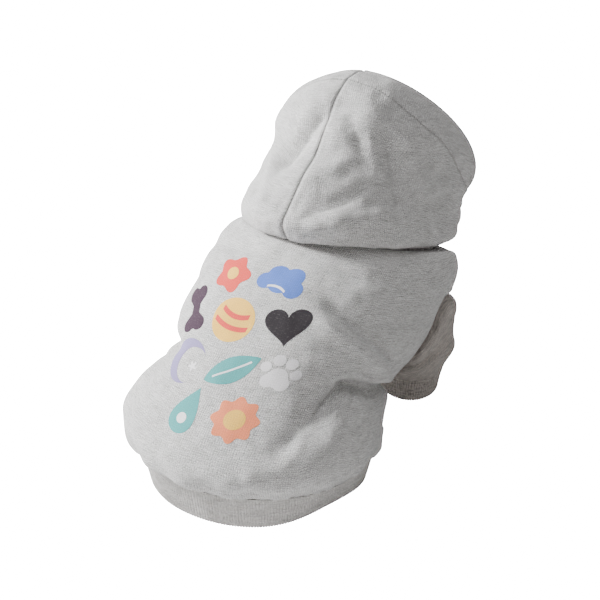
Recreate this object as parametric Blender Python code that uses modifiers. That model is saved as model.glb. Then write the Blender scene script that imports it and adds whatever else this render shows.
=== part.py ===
# Dog hoodie: a fleece sweatshirt for a small dog, hood up, in the form it has on a sitting dog.
# Metres, +Z up. The dog faces +Y and its right side is +X. The origin is at the withers,
# on the back just behind the neck seam.

import math

import bmesh
import bpy
from mathutils import Matrix, Vector
from mathutils.bvhtree import BVHTree

# Driving sizes of the body
BODY_LENGTH = 0.285      # from the seat forward to the chest
BODY_HEIGHT = 0.140      # from the withers down to the waistband seam
CHEST_WIDTH = 0.178
NECK_WIDTH = 0.146

# Driving sizes of the hood, measured from the neck seam
HOOD_DEPTH = 0.103
HOOD_HEIGHT = 0.096
HOOD_WIDTH = 0.149

# Driving sizes of the sleeves, cuffs and waistband
ARMHOLE_RADIUS = 0.030
MOUTH_DEPTH = 0.003      # how far the sleeve reaches in through its armhole
SLEEVE_LENGTH = 0.040
SLEEVE_END_RADIUS = 0.027
CUFF_HEIGHT = 0.022
CUFF_RADIUS = 0.0252
BAND_HEIGHT = 0.0265

# Cloth and seams
CLOTH_WALL = 0.0020
RIB_WALL = 0.0024
SEAM_GAP = 0.0005
RIB_PITCH = 0.0045
RIB_DEPTH = 0.0008
FOLD_HEIGHT = 0.0060
GATHER_HEIGHT = 0.0009
GATHER_COUNT = 17
CUFF_TAPER_SHARE = 0.07
BAND_TAPER_SHARE = 0.06

# Where the panels meet, in degrees round the body from the middle of the back, and the width of
# the narrow column beside each seam
SIDE_SEAM_ANGLE = 122.0
SEAM_COLUMN_DEGREES = 1.0

# Runs over which the folds fade out beside the seams, and over which the gathers rise
NECK_FADE_SHARE = 0.08
HEM_FADE_SHARE = 0.05
HOOD_FADE_SHARE = 0.06
GATHER_START_SHARE = 0.80
GATHER_RISE_SHARE = 0.12

# Which way the runs go: 1 towards the tail, -1 forward
BODY_HAND = 1
HOOD_HAND = -1

# How finely the cloth is divided
BACK_COLUMNS = 38
BELLY_COLUMNS = 16
BODY_ROWS = 20
HOOD_COLUMNS = 22
HOOD_ROWS = 14
SLEEVE_COLUMNS = 16
SLEEVE_ROWS = 5
SLEEVE_EDGE_SHARE = 0.03   # share of the sleeve taken by the short row beside the cuff
ROW_EASING = 1.15        # above 1, rows are closer together near the neck seam
RING_STEP_ANGLE = 6            # degrees between the points of a measured ring
TREE_STEP_ANGLE = 4            # degrees between the columns of the search tree
TREE_ROWS = 60

# Body sections from the neck to the waistband. back and belly are the points of the section
# on the middle plane, y as a share of BODY_LENGTH and z of BODY_HEIGHT; half is the half width
# as a share of half of CHEST_WIDTH; square is the exponent of the outline, 2 for an ellipse;
# bow pushes the sides forward as a share of BODY_LENGTH; egg widens the belly side.
BODY_SECTION_COLUMNS = ("run", "back_y", "back_z", "belly_y", "belly_z", "half", "square", "bow", "egg")
BODY_SECTIONS = (
    (0.08, -0.038, -0.026, 0.520, -0.300, 0.960, 2.1, 0.006, 0.12),
    (0.25, -0.142, -0.141, 0.512, -0.560, 0.990, 2.1, 0.006, -0.01),
    (0.42, -0.249, -0.321, 0.384, -0.760, 0.950, 2.1, 0.006, -0.06),
    (0.55, -0.328, -0.450, 0.285, -0.850, 0.865, 2.1, 0.000, -0.08),
    (0.66, -0.392, -0.553, 0.215, -0.895, 0.930, 2.2, 0.000, -0.10),
    (0.80, -0.467, -0.707, 0.155, -0.920, 0.990, 2.1, 0.000, -0.08),
    (0.90, -0.480, -0.820, 0.132, -0.945, 0.991, 2.1, 0.000, 0.04),
    (1.00, -0.452, -0.890, 0.116, -0.980, 0.915, 2.1, 0.000, 0.06),
)

# The neck ring, shared by the body and the hood, its width from NECK_WIDTH
NECK_RING = {
    "back_y": 0.025, "back_z": 0.026, "belly_y": 0.461, "belly_z": -0.231,
    "square": 2.1, "egg": 0.10,
}

# Hood sections from the neck seam to the brim. back and throat are offsets from the neck ring,
# y as a share of HOOD_DEPTH and z of HOOD_HEIGHT; half is a share of half of HOOD_WIDTH.
HOOD_SECTION_COLUMNS = (
    "run", "back_y", "back_z", "throat_y", "throat_z", "half", "square", "bow", "egg",
)
HOOD_SECTIONS = (
    (0.06, -0.105, 0.000, 0.227, -0.019, 1.030, 2.2, 0.045, 0.18),
    (0.14, -0.175, 0.131, 0.332, 0.000, 1.010, 2.3, 0.085, 0.25),
    (0.30, 0.000, 0.319, 0.350, 0.038, 0.985, 2.3, 0.120, 0.28),
    (0.50, 0.262, 0.525, 0.315, 0.075, 0.975, 2.2, 0.135, 0.24),
    (0.72, 0.472, 0.825, 0.280, 0.094, 0.985, 2.2, 0.135, 0.16),
    (0.86, 0.717, 0.975, 0.245, 0.113, 1.010, 2.1, 0.120, 0.14),
    (1.00, 0.980, 0.990, 0.210, 0.113, 1.050, 2.0, 0.105, 0.12),
)

# Folds: a line from one place to another, each place an angle round the body in degrees, right
# side positive, and a run from neck to hem. width is a share of CHEST_WIDTH, height of
# FOLD_HEIGHT, above 0 for a ridge and below 0 for a dent.
FOLD_COLUMNS = ("angle_0", "run_0", "angle_1", "run_1", "width", "height")
BODY_FOLDS = (
    (30.0, 0.28, 70.0, 0.43, 0.055, -0.60),
    (42.0, 0.40, 84.0, 0.48, 0.055, 0.50),
    (60.0, 0.51, 104.0, 0.53, 0.055, -0.90),
    (58.0, 0.52, 38.0, 0.68, 0.070, -0.55),
    (68.0, 0.60, 54.0, 0.80, 0.090, 0.40),
    (-40.0, 0.49, -96.0, 0.53, 0.055, -0.55),
    (-46.0, 0.58, -58.0, 0.76, 0.090, 0.30),
    (-56.0, 0.30, -84.0, 0.44, 0.055, -0.40),
    (-26.0, 0.10, -60.0, 0.16, 0.055, -0.30),
    (34.0, 0.12, 70.0, 0.17, 0.055, -0.35),
    (150.0, 0.50, 205.0, 0.54, 0.075, -0.50),
    (10.0, 0.90, 60.0, 0.93, 0.055, -0.30),
)
HOOD_FOLDS = (
    (-5.0, 0.64, -22.0, 0.40, 0.075, -0.95),
    (-30.0, 0.34, -50.0, 0.60, 0.070, 0.40),
    (15.0, 0.70, 27.0, 0.58, 0.050, -0.70),
    (16.0, 0.84, 34.0, 0.74, 0.050, 0.45),
    (8.0, 0.42, 24.0, 0.50, 0.060, 0.40),
    (42.0, 0.60, 66.0, 0.31, 0.038, -0.85),
    (54.0, 0.62, 78.0, 0.36, 0.045, 0.55),
    (36.0, 0.18, 58.0, 0.20, 0.055, 0.45),
    (24.0, 0.27, 48.0, 0.36, 0.055, -0.35),
    (84.0, 0.22, 96.0, 0.45, 0.050, -0.40),
    (-74.0, 0.62, -86.0, 0.30, 0.050, -0.60),
    (-95.0, 0.60, -104.0, 0.34, 0.055, 0.35),
)

# Each armhole is where a tube on this line meets the body; start is a point inside the body, as
# shares of half of CHEST_WIDTH, of BODY_LENGTH and of BODY_HEIGHT, and aim points out and down.
ARMHOLE_START = (0.56, 0.290, -0.400)
ARMHOLE_AIM = Vector((0.52, 0.06, -0.85)).normalized()
SLEEVE_AIM = Vector((-0.10, 0.16, -1.0)).normalized()
CUFF_INWARD = 0.006      # how far the cuff stands in from the armhole's line
CUFF_FORWARD = 0.004

GREY_MARL = (0.62, 0.61, 0.60)
RIB_GREY = (0.58, 0.56, 0.54)
SLEEVE_GREY = (0.50, 0.47, 0.45)


def clear_scene():
    for old in list(bpy.data.objects):
        bpy.data.objects.remove(old, do_unlink=True)


def new_collection(name):
    collection = bpy.data.collections.new(name)
    bpy.context.scene.collection.children.link(collection)
    return collection


def cloth_material(name, colour):
    material = bpy.data.materials.new(name)
    material.use_nodes = True
    shader = material.node_tree.nodes["Principled BSDF"]
    shader.inputs["Base Color"].default_value = (*colour, 1.0)
    shader.inputs["Roughness"].default_value = 0.9
    shader.inputs["Metallic"].default_value = 0.0
    return material


def smooth_step(value):
    value = min(max(value, 0.0), 1.0)
    return value * value * (3.0 - 2.0 * value)


def signed_power(value, exponent):
    return math.copysign(abs(value) ** exponent, value)


def interpolate(rows, run):
    """Read a table of sections at a run, smoothly between its rows."""
    runs = [row["run"] for row in rows]
    last = len(rows) - 2
    index = min(max(sum(1 for known in runs if known <= run) - 1, 0), last)
    start, end = rows[index], rows[index + 1]
    before, after = rows[max(index - 1, 0)], rows[min(index + 2, last + 1)]
    span = end["run"] - start["run"]
    share = (run - start["run"]) / span
    result = {}
    for key in start:
        slope_in = slope(before, start, end, key)
        slope_out = slope(start, end, after, key)
        result[key] = (
            (2 * share ** 3 - 3 * share ** 2 + 1) * start[key]
            + (share ** 3 - 2 * share ** 2 + share) * span * slope_in
            + (3 * share ** 2 - 2 * share ** 3) * end[key]
            + (share ** 3 - share ** 2) * span * slope_out
        )
    return result


def slope(before, here, after, key):
    """The slope of one column at a row, weighted by the runs on each side of it."""
    run_in = here["run"] - before["run"]
    run_out = after["run"] - here["run"]
    if run_in == 0:
        return (after[key] - here[key]) / run_out
    if run_out == 0:
        return (here[key] - before[key]) / run_in
    rise_in = (here[key] - before[key]) / run_in
    rise_out = (after[key] - here[key]) / run_out
    return (rise_in * run_out + rise_out * run_in) / (run_in + run_out)


def neck_row():
    """The neck ring in metres, with the columns of a section."""
    return {
        "run": 0.0,
        "back_y": NECK_RING["back_y"] * BODY_LENGTH,
        "back_z": NECK_RING["back_z"] * BODY_HEIGHT,
        "belly_y": NECK_RING["belly_y"] * BODY_LENGTH,
        "belly_z": NECK_RING["belly_z"] * BODY_HEIGHT,
        "half": NECK_WIDTH / 2,
        "square": NECK_RING["square"],
        "bow": 0.0,
        "egg": NECK_RING["egg"],
    }


def body_rows():
    """The body's sections in metres, from the neck to the waistband."""
    rows = [neck_row()]
    for values in BODY_SECTIONS:
        row = dict(zip(BODY_SECTION_COLUMNS, values))
        for key in ("back_y", "belly_y", "bow"):
            row[key] *= BODY_LENGTH
        for key in ("back_z", "belly_z"):
            row[key] *= BODY_HEIGHT
        row["half"] *= CHEST_WIDTH / 2
        rows.append(row)
    return rows


def hood_rows():
    """The hood's sections in metres. The first is the neck ring, one seam gap above the body."""
    neck = neck_row()
    neck["back_z"] += SEAM_GAP
    neck["belly_z"] += SEAM_GAP
    rows = [neck]
    for values in HOOD_SECTIONS:
        row = dict(zip(HOOD_SECTION_COLUMNS, values))
        rows.append({
            "run": row["run"],
            "back_y": neck["back_y"] + row["back_y"] * HOOD_DEPTH,
            "back_z": neck["back_z"] + row["back_z"] * HOOD_HEIGHT,
            "belly_y": neck["belly_y"] + row["throat_y"] * HOOD_DEPTH,
            "belly_z": neck["belly_z"] + row["throat_z"] * HOOD_HEIGHT,
            "half": row["half"] * HOOD_WIDTH / 2,
            "square": row["square"],
            "bow": row["bow"] * HOOD_DEPTH,
            "egg": row["egg"],
        })
    return rows


def section_point(rows, angle, run):
    """A point of a lofted form: angle round it in degrees from the back, run along it."""
    row = interpolate(rows, run)
    sine = math.sin(math.radians(angle))
    cosine = math.cos(math.radians(angle))
    across = signed_power(sine, 2.0 / row["square"])
    along = -signed_power(cosine, 2.0 / row["square"])
    back = Vector((0.0, row["back_y"], row["back_z"]))
    belly = Vector((0.0, row["belly_y"], row["belly_z"]))
    middle = (back + belly) / 2
    reach = (belly - back) / 2
    forward = Vector((0.0, -reach.z, reach.y)).normalized()
    point = middle + reach * along + forward * row["bow"] * sine ** 2
    point.x = row["half"] * across * (1.0 + row["egg"] * along)
    return point


def fold_offset(folds, angle, run, radius, length):
    """How far the cloth stands in or out at a place, summed over a table of folds."""
    total = 0.0
    for values in folds:
        fold = dict(zip(FOLD_COLUMNS, values))
        turned = (angle - fold["angle_0"] + 180.0) % 360.0 - 180.0
        across = math.radians(turned) * radius
        down = (run - fold["run_0"]) * length
        line_across = math.radians(fold["angle_1"] - fold["angle_0"]) * radius
        line_down = (fold["run_1"] - fold["run_0"]) * length
        line = math.hypot(line_across, line_down)
        along = (across * line_across + down * line_down) / line
        aside = (across * line_down - down * line_across) / line
        past = max(-along, along - line, 0.0)
        width = fold["width"] * CHEST_WIDTH
        reach = (aside / width) ** 2 + (past / (2.0 * width)) ** 2
        total += fold["height"] * FOLD_HEIGHT * math.exp(-reach)
    return total


def surface_normal(rows, angle, run, hand):
    """The outward direction of a lofted form at a place, from the points beside it."""
    run_step = 0.004
    turn_step = 0.5
    low_run = max(run - run_step, 0.0)
    high_run = min(run + run_step, 1.0)
    round_it = section_point(rows, angle + turn_step, run)
    round_it -= section_point(rows, angle - turn_step, run)
    along_it = section_point(rows, angle, high_run) - section_point(rows, angle, low_run)
    return along_it.cross(round_it).normalized() * hand


def body_point(rows, angle, run):
    """The outer face of the body cloth, with its folds and the gathers at the waistband."""
    away_from_seams = smooth_step(run / NECK_FADE_SHARE) * smooth_step((1.0 - run) / HEM_FADE_SHARE)
    offset = fold_offset(BODY_FOLDS, angle, run, CHEST_WIDTH / 2, BODY_LENGTH) * away_from_seams
    gathered = smooth_step((run - GATHER_START_SHARE) / GATHER_RISE_SHARE)
    gathered *= smooth_step((1.0 - run) / HEM_FADE_SHARE)
    offset += GATHER_HEIGHT * gathered * math.cos(math.radians(angle) * GATHER_COUNT)
    return section_point(rows, angle, run) + surface_normal(rows, angle, run, BODY_HAND) * offset


def hood_point(rows, angle, run):
    """The outer face of the hood cloth, with its folds."""
    away_from_seams = smooth_step(run / HOOD_FADE_SHARE) * smooth_step((1.0 - run) / HOOD_FADE_SHARE)
    offset = fold_offset(HOOD_FOLDS, angle, run, HOOD_WIDTH / 2, 2.0 * HOOD_DEPTH) * away_from_seams
    return section_point(rows, angle, run) + surface_normal(rows, angle, run, HOOD_HAND) * offset


def column_angles(first, last, count):
    """Angles across a panel. The outer columns are narrow, so that the seam edges stay square."""
    inner_first = first + SEAM_COLUMN_DEGREES
    inner_last = last - SEAM_COLUMN_DEGREES
    step = (inner_last - inner_first) / count
    return [first] + [inner_first + step * index for index in range(count + 1)] + [last]


def eased_runs(rows):
    """Runs from 0 to 1, closer together near the neck seam, where the cloth rolls over."""
    return [(index / rows) ** ROW_EASING for index in range(rows + 1)]


def sheet_object(name, points, closed, wall, colour, collection):
    """An open sheet from rows of points, given its wall inwards by Solidify."""
    mesh = bpy.data.meshes.new(name)
    sheet = bmesh.new()
    grid = [[sheet.verts.new(point) for point in row] for row in points]
    width = len(grid[0])
    last = width if closed else width - 1
    for row, below in zip(grid, grid[1:]):
        for index in range(last):
            nearby = (index + 1) % width
            sheet.faces.new((row[index], below[index], below[nearby], row[nearby]))
    sheet.normal_update()
    sheet.to_mesh(mesh)
    sheet.free()
    mesh.shade_smooth()
    mesh.materials.append(cloth_material(name, colour))
    piece = bpy.data.objects.new(name, mesh)
    collection.objects.link(piece)
    solidify = piece.modifiers.new("cloth wall", "SOLIDIFY")
    solidify.thickness = wall
    solidify.offset = -1.0
    solidify.use_rim = True
    return piece


def panel(name, point_at, rows, angles, runs, colour, collection):
    points = [[point_at(rows, angle, run) for angle in angles] for run in runs]
    return sheet_object(name, points, False, CLOTH_WALL, colour, collection)


def seam_angle(width):
    """Half of the seam gap, as an angle on a form of this width."""
    return math.degrees(SEAM_GAP / width)


def build_body(collection):
    """The back panel and the belly panel, which meet at the side seams."""
    rows = body_rows()
    runs = eased_runs(BODY_ROWS)
    gap = seam_angle(CHEST_WIDTH)
    back_angles = column_angles(-SIDE_SEAM_ANGLE + gap, SIDE_SEAM_ANGLE - gap, BACK_COLUMNS)
    belly_angles = column_angles(SIDE_SEAM_ANGLE + gap, 360.0 - SIDE_SEAM_ANGLE - gap, BELLY_COLUMNS)
    back = panel("back_panel", body_point, rows, back_angles, runs, GREY_MARL, collection)
    belly = panel("belly_panel", body_point, rows, belly_angles, runs, GREY_MARL, collection)
    return back, belly


def build_hood(collection):
    """The two halves of the hood, which meet at the centre back and at the throat."""
    rows = hood_rows()
    runs = eased_runs(HOOD_ROWS)
    gap = seam_angle(HOOD_WIDTH)
    right_angles = column_angles(gap, 180.0 - gap, HOOD_COLUMNS)[::HOOD_HAND]
    left_angles = column_angles(-180.0 + gap, -gap, HOOD_COLUMNS)[::HOOD_HAND]
    panel("hood_right", hood_point, rows, right_angles, runs, GREY_MARL, collection)
    panel("hood_left", hood_point, rows, left_angles, runs, GREY_MARL, collection)


def rib_count(circumference):
    return max(8, round(circumference / RIB_PITCH))


def ring_length(points):
    pairs = zip(points, points[1:] + points[:1])
    return sum((second - first).length for first, second in pairs)


def ribbed_tube(name, ring_at, collection):
    """A rib-knit tube. ring_at gives a point of its outline at an angle and a run."""
    outline = [ring_at(angle, 0.0) for angle in range(0, 360, RING_STEP_ANGLE)]
    ribs = rib_count(ring_length(outline))
    centre = sum(outline, Vector()) / len(outline)
    points = []
    for run in (0.0, 1.0):
        row = []
        for index in range(2 * ribs):
            point = ring_at(180.0 * index / ribs, run)
            outward = Vector((point.x - centre.x, point.y - centre.y, 0.0)).normalized()
            row.append(point + outward * RIB_DEPTH * (index % 2))
        points.append(row)
    return sheet_object(name, points, True, RIB_WALL, RIB_GREY, collection)


def build_waistband(collection):
    """The rib waistband, hung from the body's last section and drawn in towards its hem."""
    rows = body_rows()
    edge = [body_point(rows, angle, 1.0) for angle in range(0, 360, RING_STEP_ANGLE)]
    centre = sum(edge, Vector()) / len(edge)

    def ring_at(angle, run):
        top = body_point(rows, angle, 1.0)
        drawn_in = (top - centre) * BAND_TAPER_SHARE * run
        drawn_in.z = 0.0
        return top - drawn_in - Vector((0.0, 0.0, SEAM_GAP + BAND_HEIGHT * run))

    ribbed_tube("waistband", ring_at, collection)


def side_of(side, vector):
    """The same direction on the dog's right, side 1, or its left, side -1."""
    return Vector((vector.x * side, vector.y, vector.z))


def armhole_frame(side):
    """Where an armhole's line starts, where it points, and two directions across it."""
    start = Vector((
        ARMHOLE_START[0] * CHEST_WIDTH / 2 * side,
        ARMHOLE_START[1] * BODY_LENGTH,
        ARMHOLE_START[2] * BODY_HEIGHT,
    ))
    aim = side_of(side, ARMHOLE_AIM)
    ahead = (Vector((0.0, 1.0, 0.0)) - aim * aim.y).normalized()
    outward = aim.cross(ahead) * side
    return start, aim, ahead, outward


def body_tree():
    """The body's outer face as a search tree, to find where a line meets it."""
    rows = body_rows()
    angles = range(0, 360, TREE_STEP_ANGLE)
    runs = [index / TREE_ROWS for index in range(TREE_ROWS + 1)]
    points = [body_point(rows, angle, run) for run in runs for angle in angles]
    width = len(angles)
    faces = []
    for row in range(len(runs) - 1):
        for index in range(width):
            here = row * width + index
            nearby = row * width + (index + 1) % width
            faces.append((here, nearby, nearby + width, here + width))
    return BVHTree.FromPolygons(points, faces)


def sleeve_rings(side, tree):
    """Rings of the sleeve's outer face, from inside the armhole to the cuff."""
    start, aim, ahead, outward = armhole_frame(side)
    sleeve_aim = side_of(side, SLEEVE_AIM)
    mouth = []
    for index in range(SLEEVE_COLUMNS):
        angle = 2.0 * math.pi * index / SLEEVE_COLUMNS
        spread = ahead * math.cos(angle) + outward * math.sin(angle)
        origin = start + spread * ARMHOLE_RADIUS
        hit = tree.ray_cast(origin, aim)[0]
        mouth.append((hit, spread))
    centre = sum((hit for hit, spread in mouth), Vector()) / len(mouth)
    end_centre = centre + sleeve_aim * SLEEVE_LENGTH
    end_centre += Vector((-CUFF_INWARD * side, CUFF_FORWARD, 0.0))
    end_ahead = (Vector((0.0, 1.0, 0.0)) - sleeve_aim * sleeve_aim.y).normalized()
    end_outward = sleeve_aim.cross(end_ahead) * side
    rings = [[hit - aim * MOUTH_DEPTH for hit, spread in mouth]]
    shares = [row / SLEEVE_ROWS for row in range(SLEEVE_ROWS)] + [1.0 - SLEEVE_EDGE_SHARE, 1.0]
    for share in shares:
        ring = []
        for index, (hit, spread) in enumerate(mouth):
            angle = 2.0 * math.pi * index / SLEEVE_COLUMNS
            end_spread = end_ahead * math.cos(angle) + end_outward * math.sin(angle)
            end = end_centre + end_spread * SLEEVE_END_RADIUS
            pull = (end - hit).length
            ring.append(
                hit * (2 * share ** 3 - 3 * share ** 2 + 1)
                + aim * pull * (share ** 3 - 2 * share ** 2 + share)
                + end * (3 * share ** 2 - 2 * share ** 3)
                + sleeve_aim * pull * (share ** 3 - share ** 2)
            )
        rings.append(ring)
    return rings, end_centre, end_ahead, end_outward, sleeve_aim


def build_sleeve(side, word, tree, collection):
    """One sleeve and its rib cuff."""
    rings, centre, ahead, outward, aim = sleeve_rings(side, tree)
    rings = [ring[::-side] for ring in rings]
    sheet_object("sleeve_" + word, rings, True, CLOTH_WALL, SLEEVE_GREY, collection)

    def ring_at(angle, run):
        turn = -math.radians(angle) * side
        radius = CUFF_RADIUS * (1.0 - CUFF_TAPER_SHARE * run)
        spread = ahead * math.cos(turn) + outward * math.sin(turn)
        return centre + spread * radius + aim * (SEAM_GAP + CUFF_HEIGHT * run)

    ribbed_tube("cuff_" + word, ring_at, collection)


def armhole_cutter(side, word, collection):
    """A round bar along the armhole's line, one seam gap larger than the sleeve."""
    start, aim, ahead, outward = armhole_frame(side)
    length = BODY_HEIGHT
    mesh = bpy.data.meshes.new("armhole_" + word)
    bar = bmesh.new()
    bmesh.ops.create_cone(
        bar, cap_ends=True, segments=2 * SLEEVE_COLUMNS,
        radius1=ARMHOLE_RADIUS + SEAM_GAP, radius2=ARMHOLE_RADIUS + SEAM_GAP, depth=length,
    )
    turn = aim.to_track_quat("Z", "Y").to_matrix().to_4x4()
    bar.transform(Matrix.Translation(start + aim * length / 2) @ turn)
    bar.to_mesh(mesh)
    bar.free()
    cutter = bpy.data.objects.new("armhole_" + word, mesh)
    collection.objects.link(cutter)
    cutter.hide_render = True
    cutter.display_type = "WIRE"
    return cutter


def cut_armholes(panels, cutters):
    for piece in panels:
        for cutter in cutters:
            cut = piece.modifiers.new(cutter.name, "BOOLEAN")
            cut.operation = "DIFFERENCE"
            cut.solver = "EXACT"
            cut.object = cutter


def build():
    clear_scene()
    hoodie = new_collection("dog hoodie")
    tools = new_collection("armhole cutters")
    panels = build_body(hoodie)
    build_hood(hoodie)
    build_waistband(hoodie)
    tree = body_tree()
    cutters = []
    for side, word in ((1, "right"), (-1, "left")):
        build_sleeve(side, word, tree, hoodie)
        cutters.append(armhole_cutter(side, word, tools))
    cut_armholes(panels, cutters)


build()
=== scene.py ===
import math

import bmesh
import bpy
import numpy as np
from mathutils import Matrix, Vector
from mathutils.bvhtree import BVHTree
from mathutils.geometry import delaunay_2d_cdt


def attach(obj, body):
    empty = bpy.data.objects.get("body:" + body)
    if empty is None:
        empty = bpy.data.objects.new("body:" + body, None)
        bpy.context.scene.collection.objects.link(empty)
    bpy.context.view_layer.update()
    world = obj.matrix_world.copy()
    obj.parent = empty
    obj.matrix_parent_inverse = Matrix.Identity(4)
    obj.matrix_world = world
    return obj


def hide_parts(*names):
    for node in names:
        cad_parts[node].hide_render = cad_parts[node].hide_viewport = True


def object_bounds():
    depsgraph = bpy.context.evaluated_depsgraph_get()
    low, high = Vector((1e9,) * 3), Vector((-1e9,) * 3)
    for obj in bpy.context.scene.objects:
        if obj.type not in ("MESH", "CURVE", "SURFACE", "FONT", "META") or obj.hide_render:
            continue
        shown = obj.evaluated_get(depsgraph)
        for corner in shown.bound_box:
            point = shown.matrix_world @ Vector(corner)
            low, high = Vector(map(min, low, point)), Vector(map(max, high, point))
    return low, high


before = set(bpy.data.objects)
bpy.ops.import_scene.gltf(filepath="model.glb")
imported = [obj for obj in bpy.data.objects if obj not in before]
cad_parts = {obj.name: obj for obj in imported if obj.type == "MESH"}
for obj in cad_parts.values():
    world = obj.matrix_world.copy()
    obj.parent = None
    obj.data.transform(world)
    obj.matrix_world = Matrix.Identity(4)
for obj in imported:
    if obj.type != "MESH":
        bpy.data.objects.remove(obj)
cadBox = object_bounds()

# Metres, +Z up. The dog faces +Y, its right side is +X, and the origin is at the withers.
# Places on the cloth are an angle round the dog in degrees, 0 at the middle of the back and
# positive on the right, and a run from the neck seam to the hem.


class Value:
    # a socket of a material, with + - * / and ** that add Math nodes
    def __init__(self, finish, socket):
        self.finish = finish
        self.socket = socket

    def calc(self, operation, *others):
        sockets = {0: self}
        sockets.update({place + 1: other for place, other in enumerate(others)})
        return self.finish.add("ShaderNodeMath", {"operation": operation}, sockets)

    def flipped(self, operation, other):
        return self.finish.add("ShaderNodeMath", {"operation": operation}, {0: other, 1: self})

    def __add__(self, other):
        return self.calc("ADD", other)

    def __radd__(self, other):
        return self.calc("ADD", other)

    def __sub__(self, other):
        return self.calc("SUBTRACT", other)

    def __rsub__(self, other):
        return self.flipped("SUBTRACT", other)

    def __mul__(self, other):
        return self.calc("MULTIPLY", other)

    def __rmul__(self, other):
        return self.calc("MULTIPLY", other)

    def __truediv__(self, other):
        return self.calc("DIVIDE", other)

    def __rtruediv__(self, other):
        return self.flipped("DIVIDE", other)

    def __pow__(self, other):
        return self.calc("POWER", other)


class Nodes:
    # a node tree whose nodes are added by add()
    def add(self, kind, settings=None, inputs=None, output=0):
        node = self.tree.nodes.new(kind)
        for name, value in (settings or {}).items():
            if name == "stops":
                ramp = node.color_ramp
                while len(ramp.elements) < len(value):
                    ramp.elements.new(1.0)
                for element, (place, colour) in zip(ramp.elements, value):
                    element.position = place
                    element.color = (*colour, 1.0)
            else:
                setattr(node, name, value)
        for name, value in (inputs or {}).items():
            if isinstance(value, Value):
                self.tree.links.new(value.socket, node.inputs[name])
            else:
                node.inputs[name].default_value = value
        return Value(self, node.outputs[output])


class Finish(Nodes):
    # one material
    def __init__(self, name, roughness=0.9, sheen=0.0):
        self.material = bpy.data.materials.new(name)
        self.material.use_nodes = True
        self.tree = self.material.node_tree
        self.shader = self.tree.nodes["Principled BSDF"]
        self.shader.inputs["Roughness"].default_value = roughness
        self.shader.inputs["Metallic"].default_value = 0.0
        self.shader.inputs["Sheen Weight"].default_value = sheen
        self.shader.inputs["Sheen Roughness"].default_value = 0.6
        self.shader.inputs["Specular IOR Level"].default_value = 0.25

    def join(self, socketName, value):
        self.tree.links.new(value.socket, self.shader.inputs[socketName])

    def mix(self, share, first, second, blend="MIX"):
        # Mix node's colour sockets: 0 factor, 6 and 7 colours, output 2
        first = first if isinstance(first, Value) else (*first, 1.0)
        second = second if isinstance(second, Value) else (*second, 1.0)
        settings = {"data_type": "RGBA", "blend_type": blend}
        return self.add("ShaderNodeMix", settings, {0: share, 6: first, 7: second}, output=2)


class Tree(Nodes):
    # one Geometry Nodes tree, with named inputs after its geometry
    def __init__(self, name, inputs):
        self.tree = bpy.data.node_groups.new(name, "GeometryNodeTree")
        ports = self.tree.interface
        ports.new_socket("Geometry", in_out="INPUT", socket_type="NodeSocketGeometry")
        for title, kind in inputs.items():
            ports.new_socket(title, in_out="INPUT", socket_type="NodeSocket" + kind)
        ports.new_socket("Geometry", in_out="OUTPUT", socket_type="NodeSocketGeometry")
        self.start = self.tree.nodes.new("NodeGroupInput")

    def given(self, title):
        return Value(self, self.start.outputs[title])

    def named(self, title, kind="FLOAT"):
        return self.add("GeometryNodeInputNamedAttribute", {"data_type": kind}, {"Name": title})

    def dressed(self, shape):
        # the tree's end: real meshes that wear the given finish
        shape = self.add("GeometryNodeSetMaterial", {}, {
            "Geometry": self.add("GeometryNodeRealizeInstances", {}, {0: shape}),
            "Material": self.given("Finish")})
        end = self.tree.nodes.new("NodeGroupOutput")
        self.tree.links.new(shape.socket, end.inputs[0])
        return self.tree


def sheetObject(name, points, uvs, closedRound=False, attributes=None):
    # a sheet from rows of points; faces look to the left of the rows' way along
    rows, columns = points.shape[:2]
    index = np.arange(rows * columns).reshape(rows, columns)
    after = np.roll(index, -1, axis=1)
    if not closedRound:
        index, after = index[:, :-1], after[:, :-1]
    quads = np.stack((index[:-1], index[1:], after[1:], after[:-1]), axis=-1).reshape(-1, 4)
    mesh = bpy.data.meshes.new(name)
    mesh.from_pydata(points.reshape(-1, 3).tolist(), [], quads.tolist())
    corners = uvs.reshape(-1, 2)[quads]
    if closedRound:
        wide = uvs[:, -1, 0] + (uvs[:, -1, 0] - uvs[:, -2, 0])
        last = (quads[:, 0] % columns) == columns - 1
        corners[last, 2, 0] = wide[quads[last, 2] // columns]
        corners[last, 3, 0] = wide[quads[last, 3] // columns]
    layer = mesh.uv_layers.new(name="cloth")
    layer.data.foreach_set("uv", corners.reshape(-1))
    for key, values in (attributes or {}).items():
        mesh.attributes.new(key, "FLOAT", "POINT").data.foreach_set("value", values.ravel())
    mesh.shade_smooth()
    piece = bpy.data.objects.new(name, mesh)
    bpy.context.scene.collection.objects.link(piece)
    return piece


def arcUvs(points, closedRound=False):
    # lengths across and down the cloth in metres, so that a knit keeps its real scale
    across = np.linalg.norm(np.diff(points, axis=1), axis=-1)
    across = np.concatenate((np.zeros((len(points), 1)), np.cumsum(across, axis=1)), axis=1)
    if not closedRound:
        across -= across[:, [across.shape[1] // 2]]
    down = np.linalg.norm(np.diff(points, axis=0), axis=-1)
    down = np.concatenate((np.zeros((1, points.shape[1])), np.cumsum(down, axis=0)), axis=0)
    return np.stack((across, down), axis=-1)


def baked(piece):
    # applies a piece's modifiers by taking its evaluated mesh
    graph = bpy.context.evaluated_depsgraph_get()
    mesh = bpy.data.meshes.new_from_object(piece.evaluated_get(graph))
    piece.modifiers.clear()
    old = piece.data
    piece.data = mesh
    mesh.name = piece.name
    bpy.data.meshes.remove(old)
    return piece


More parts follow.
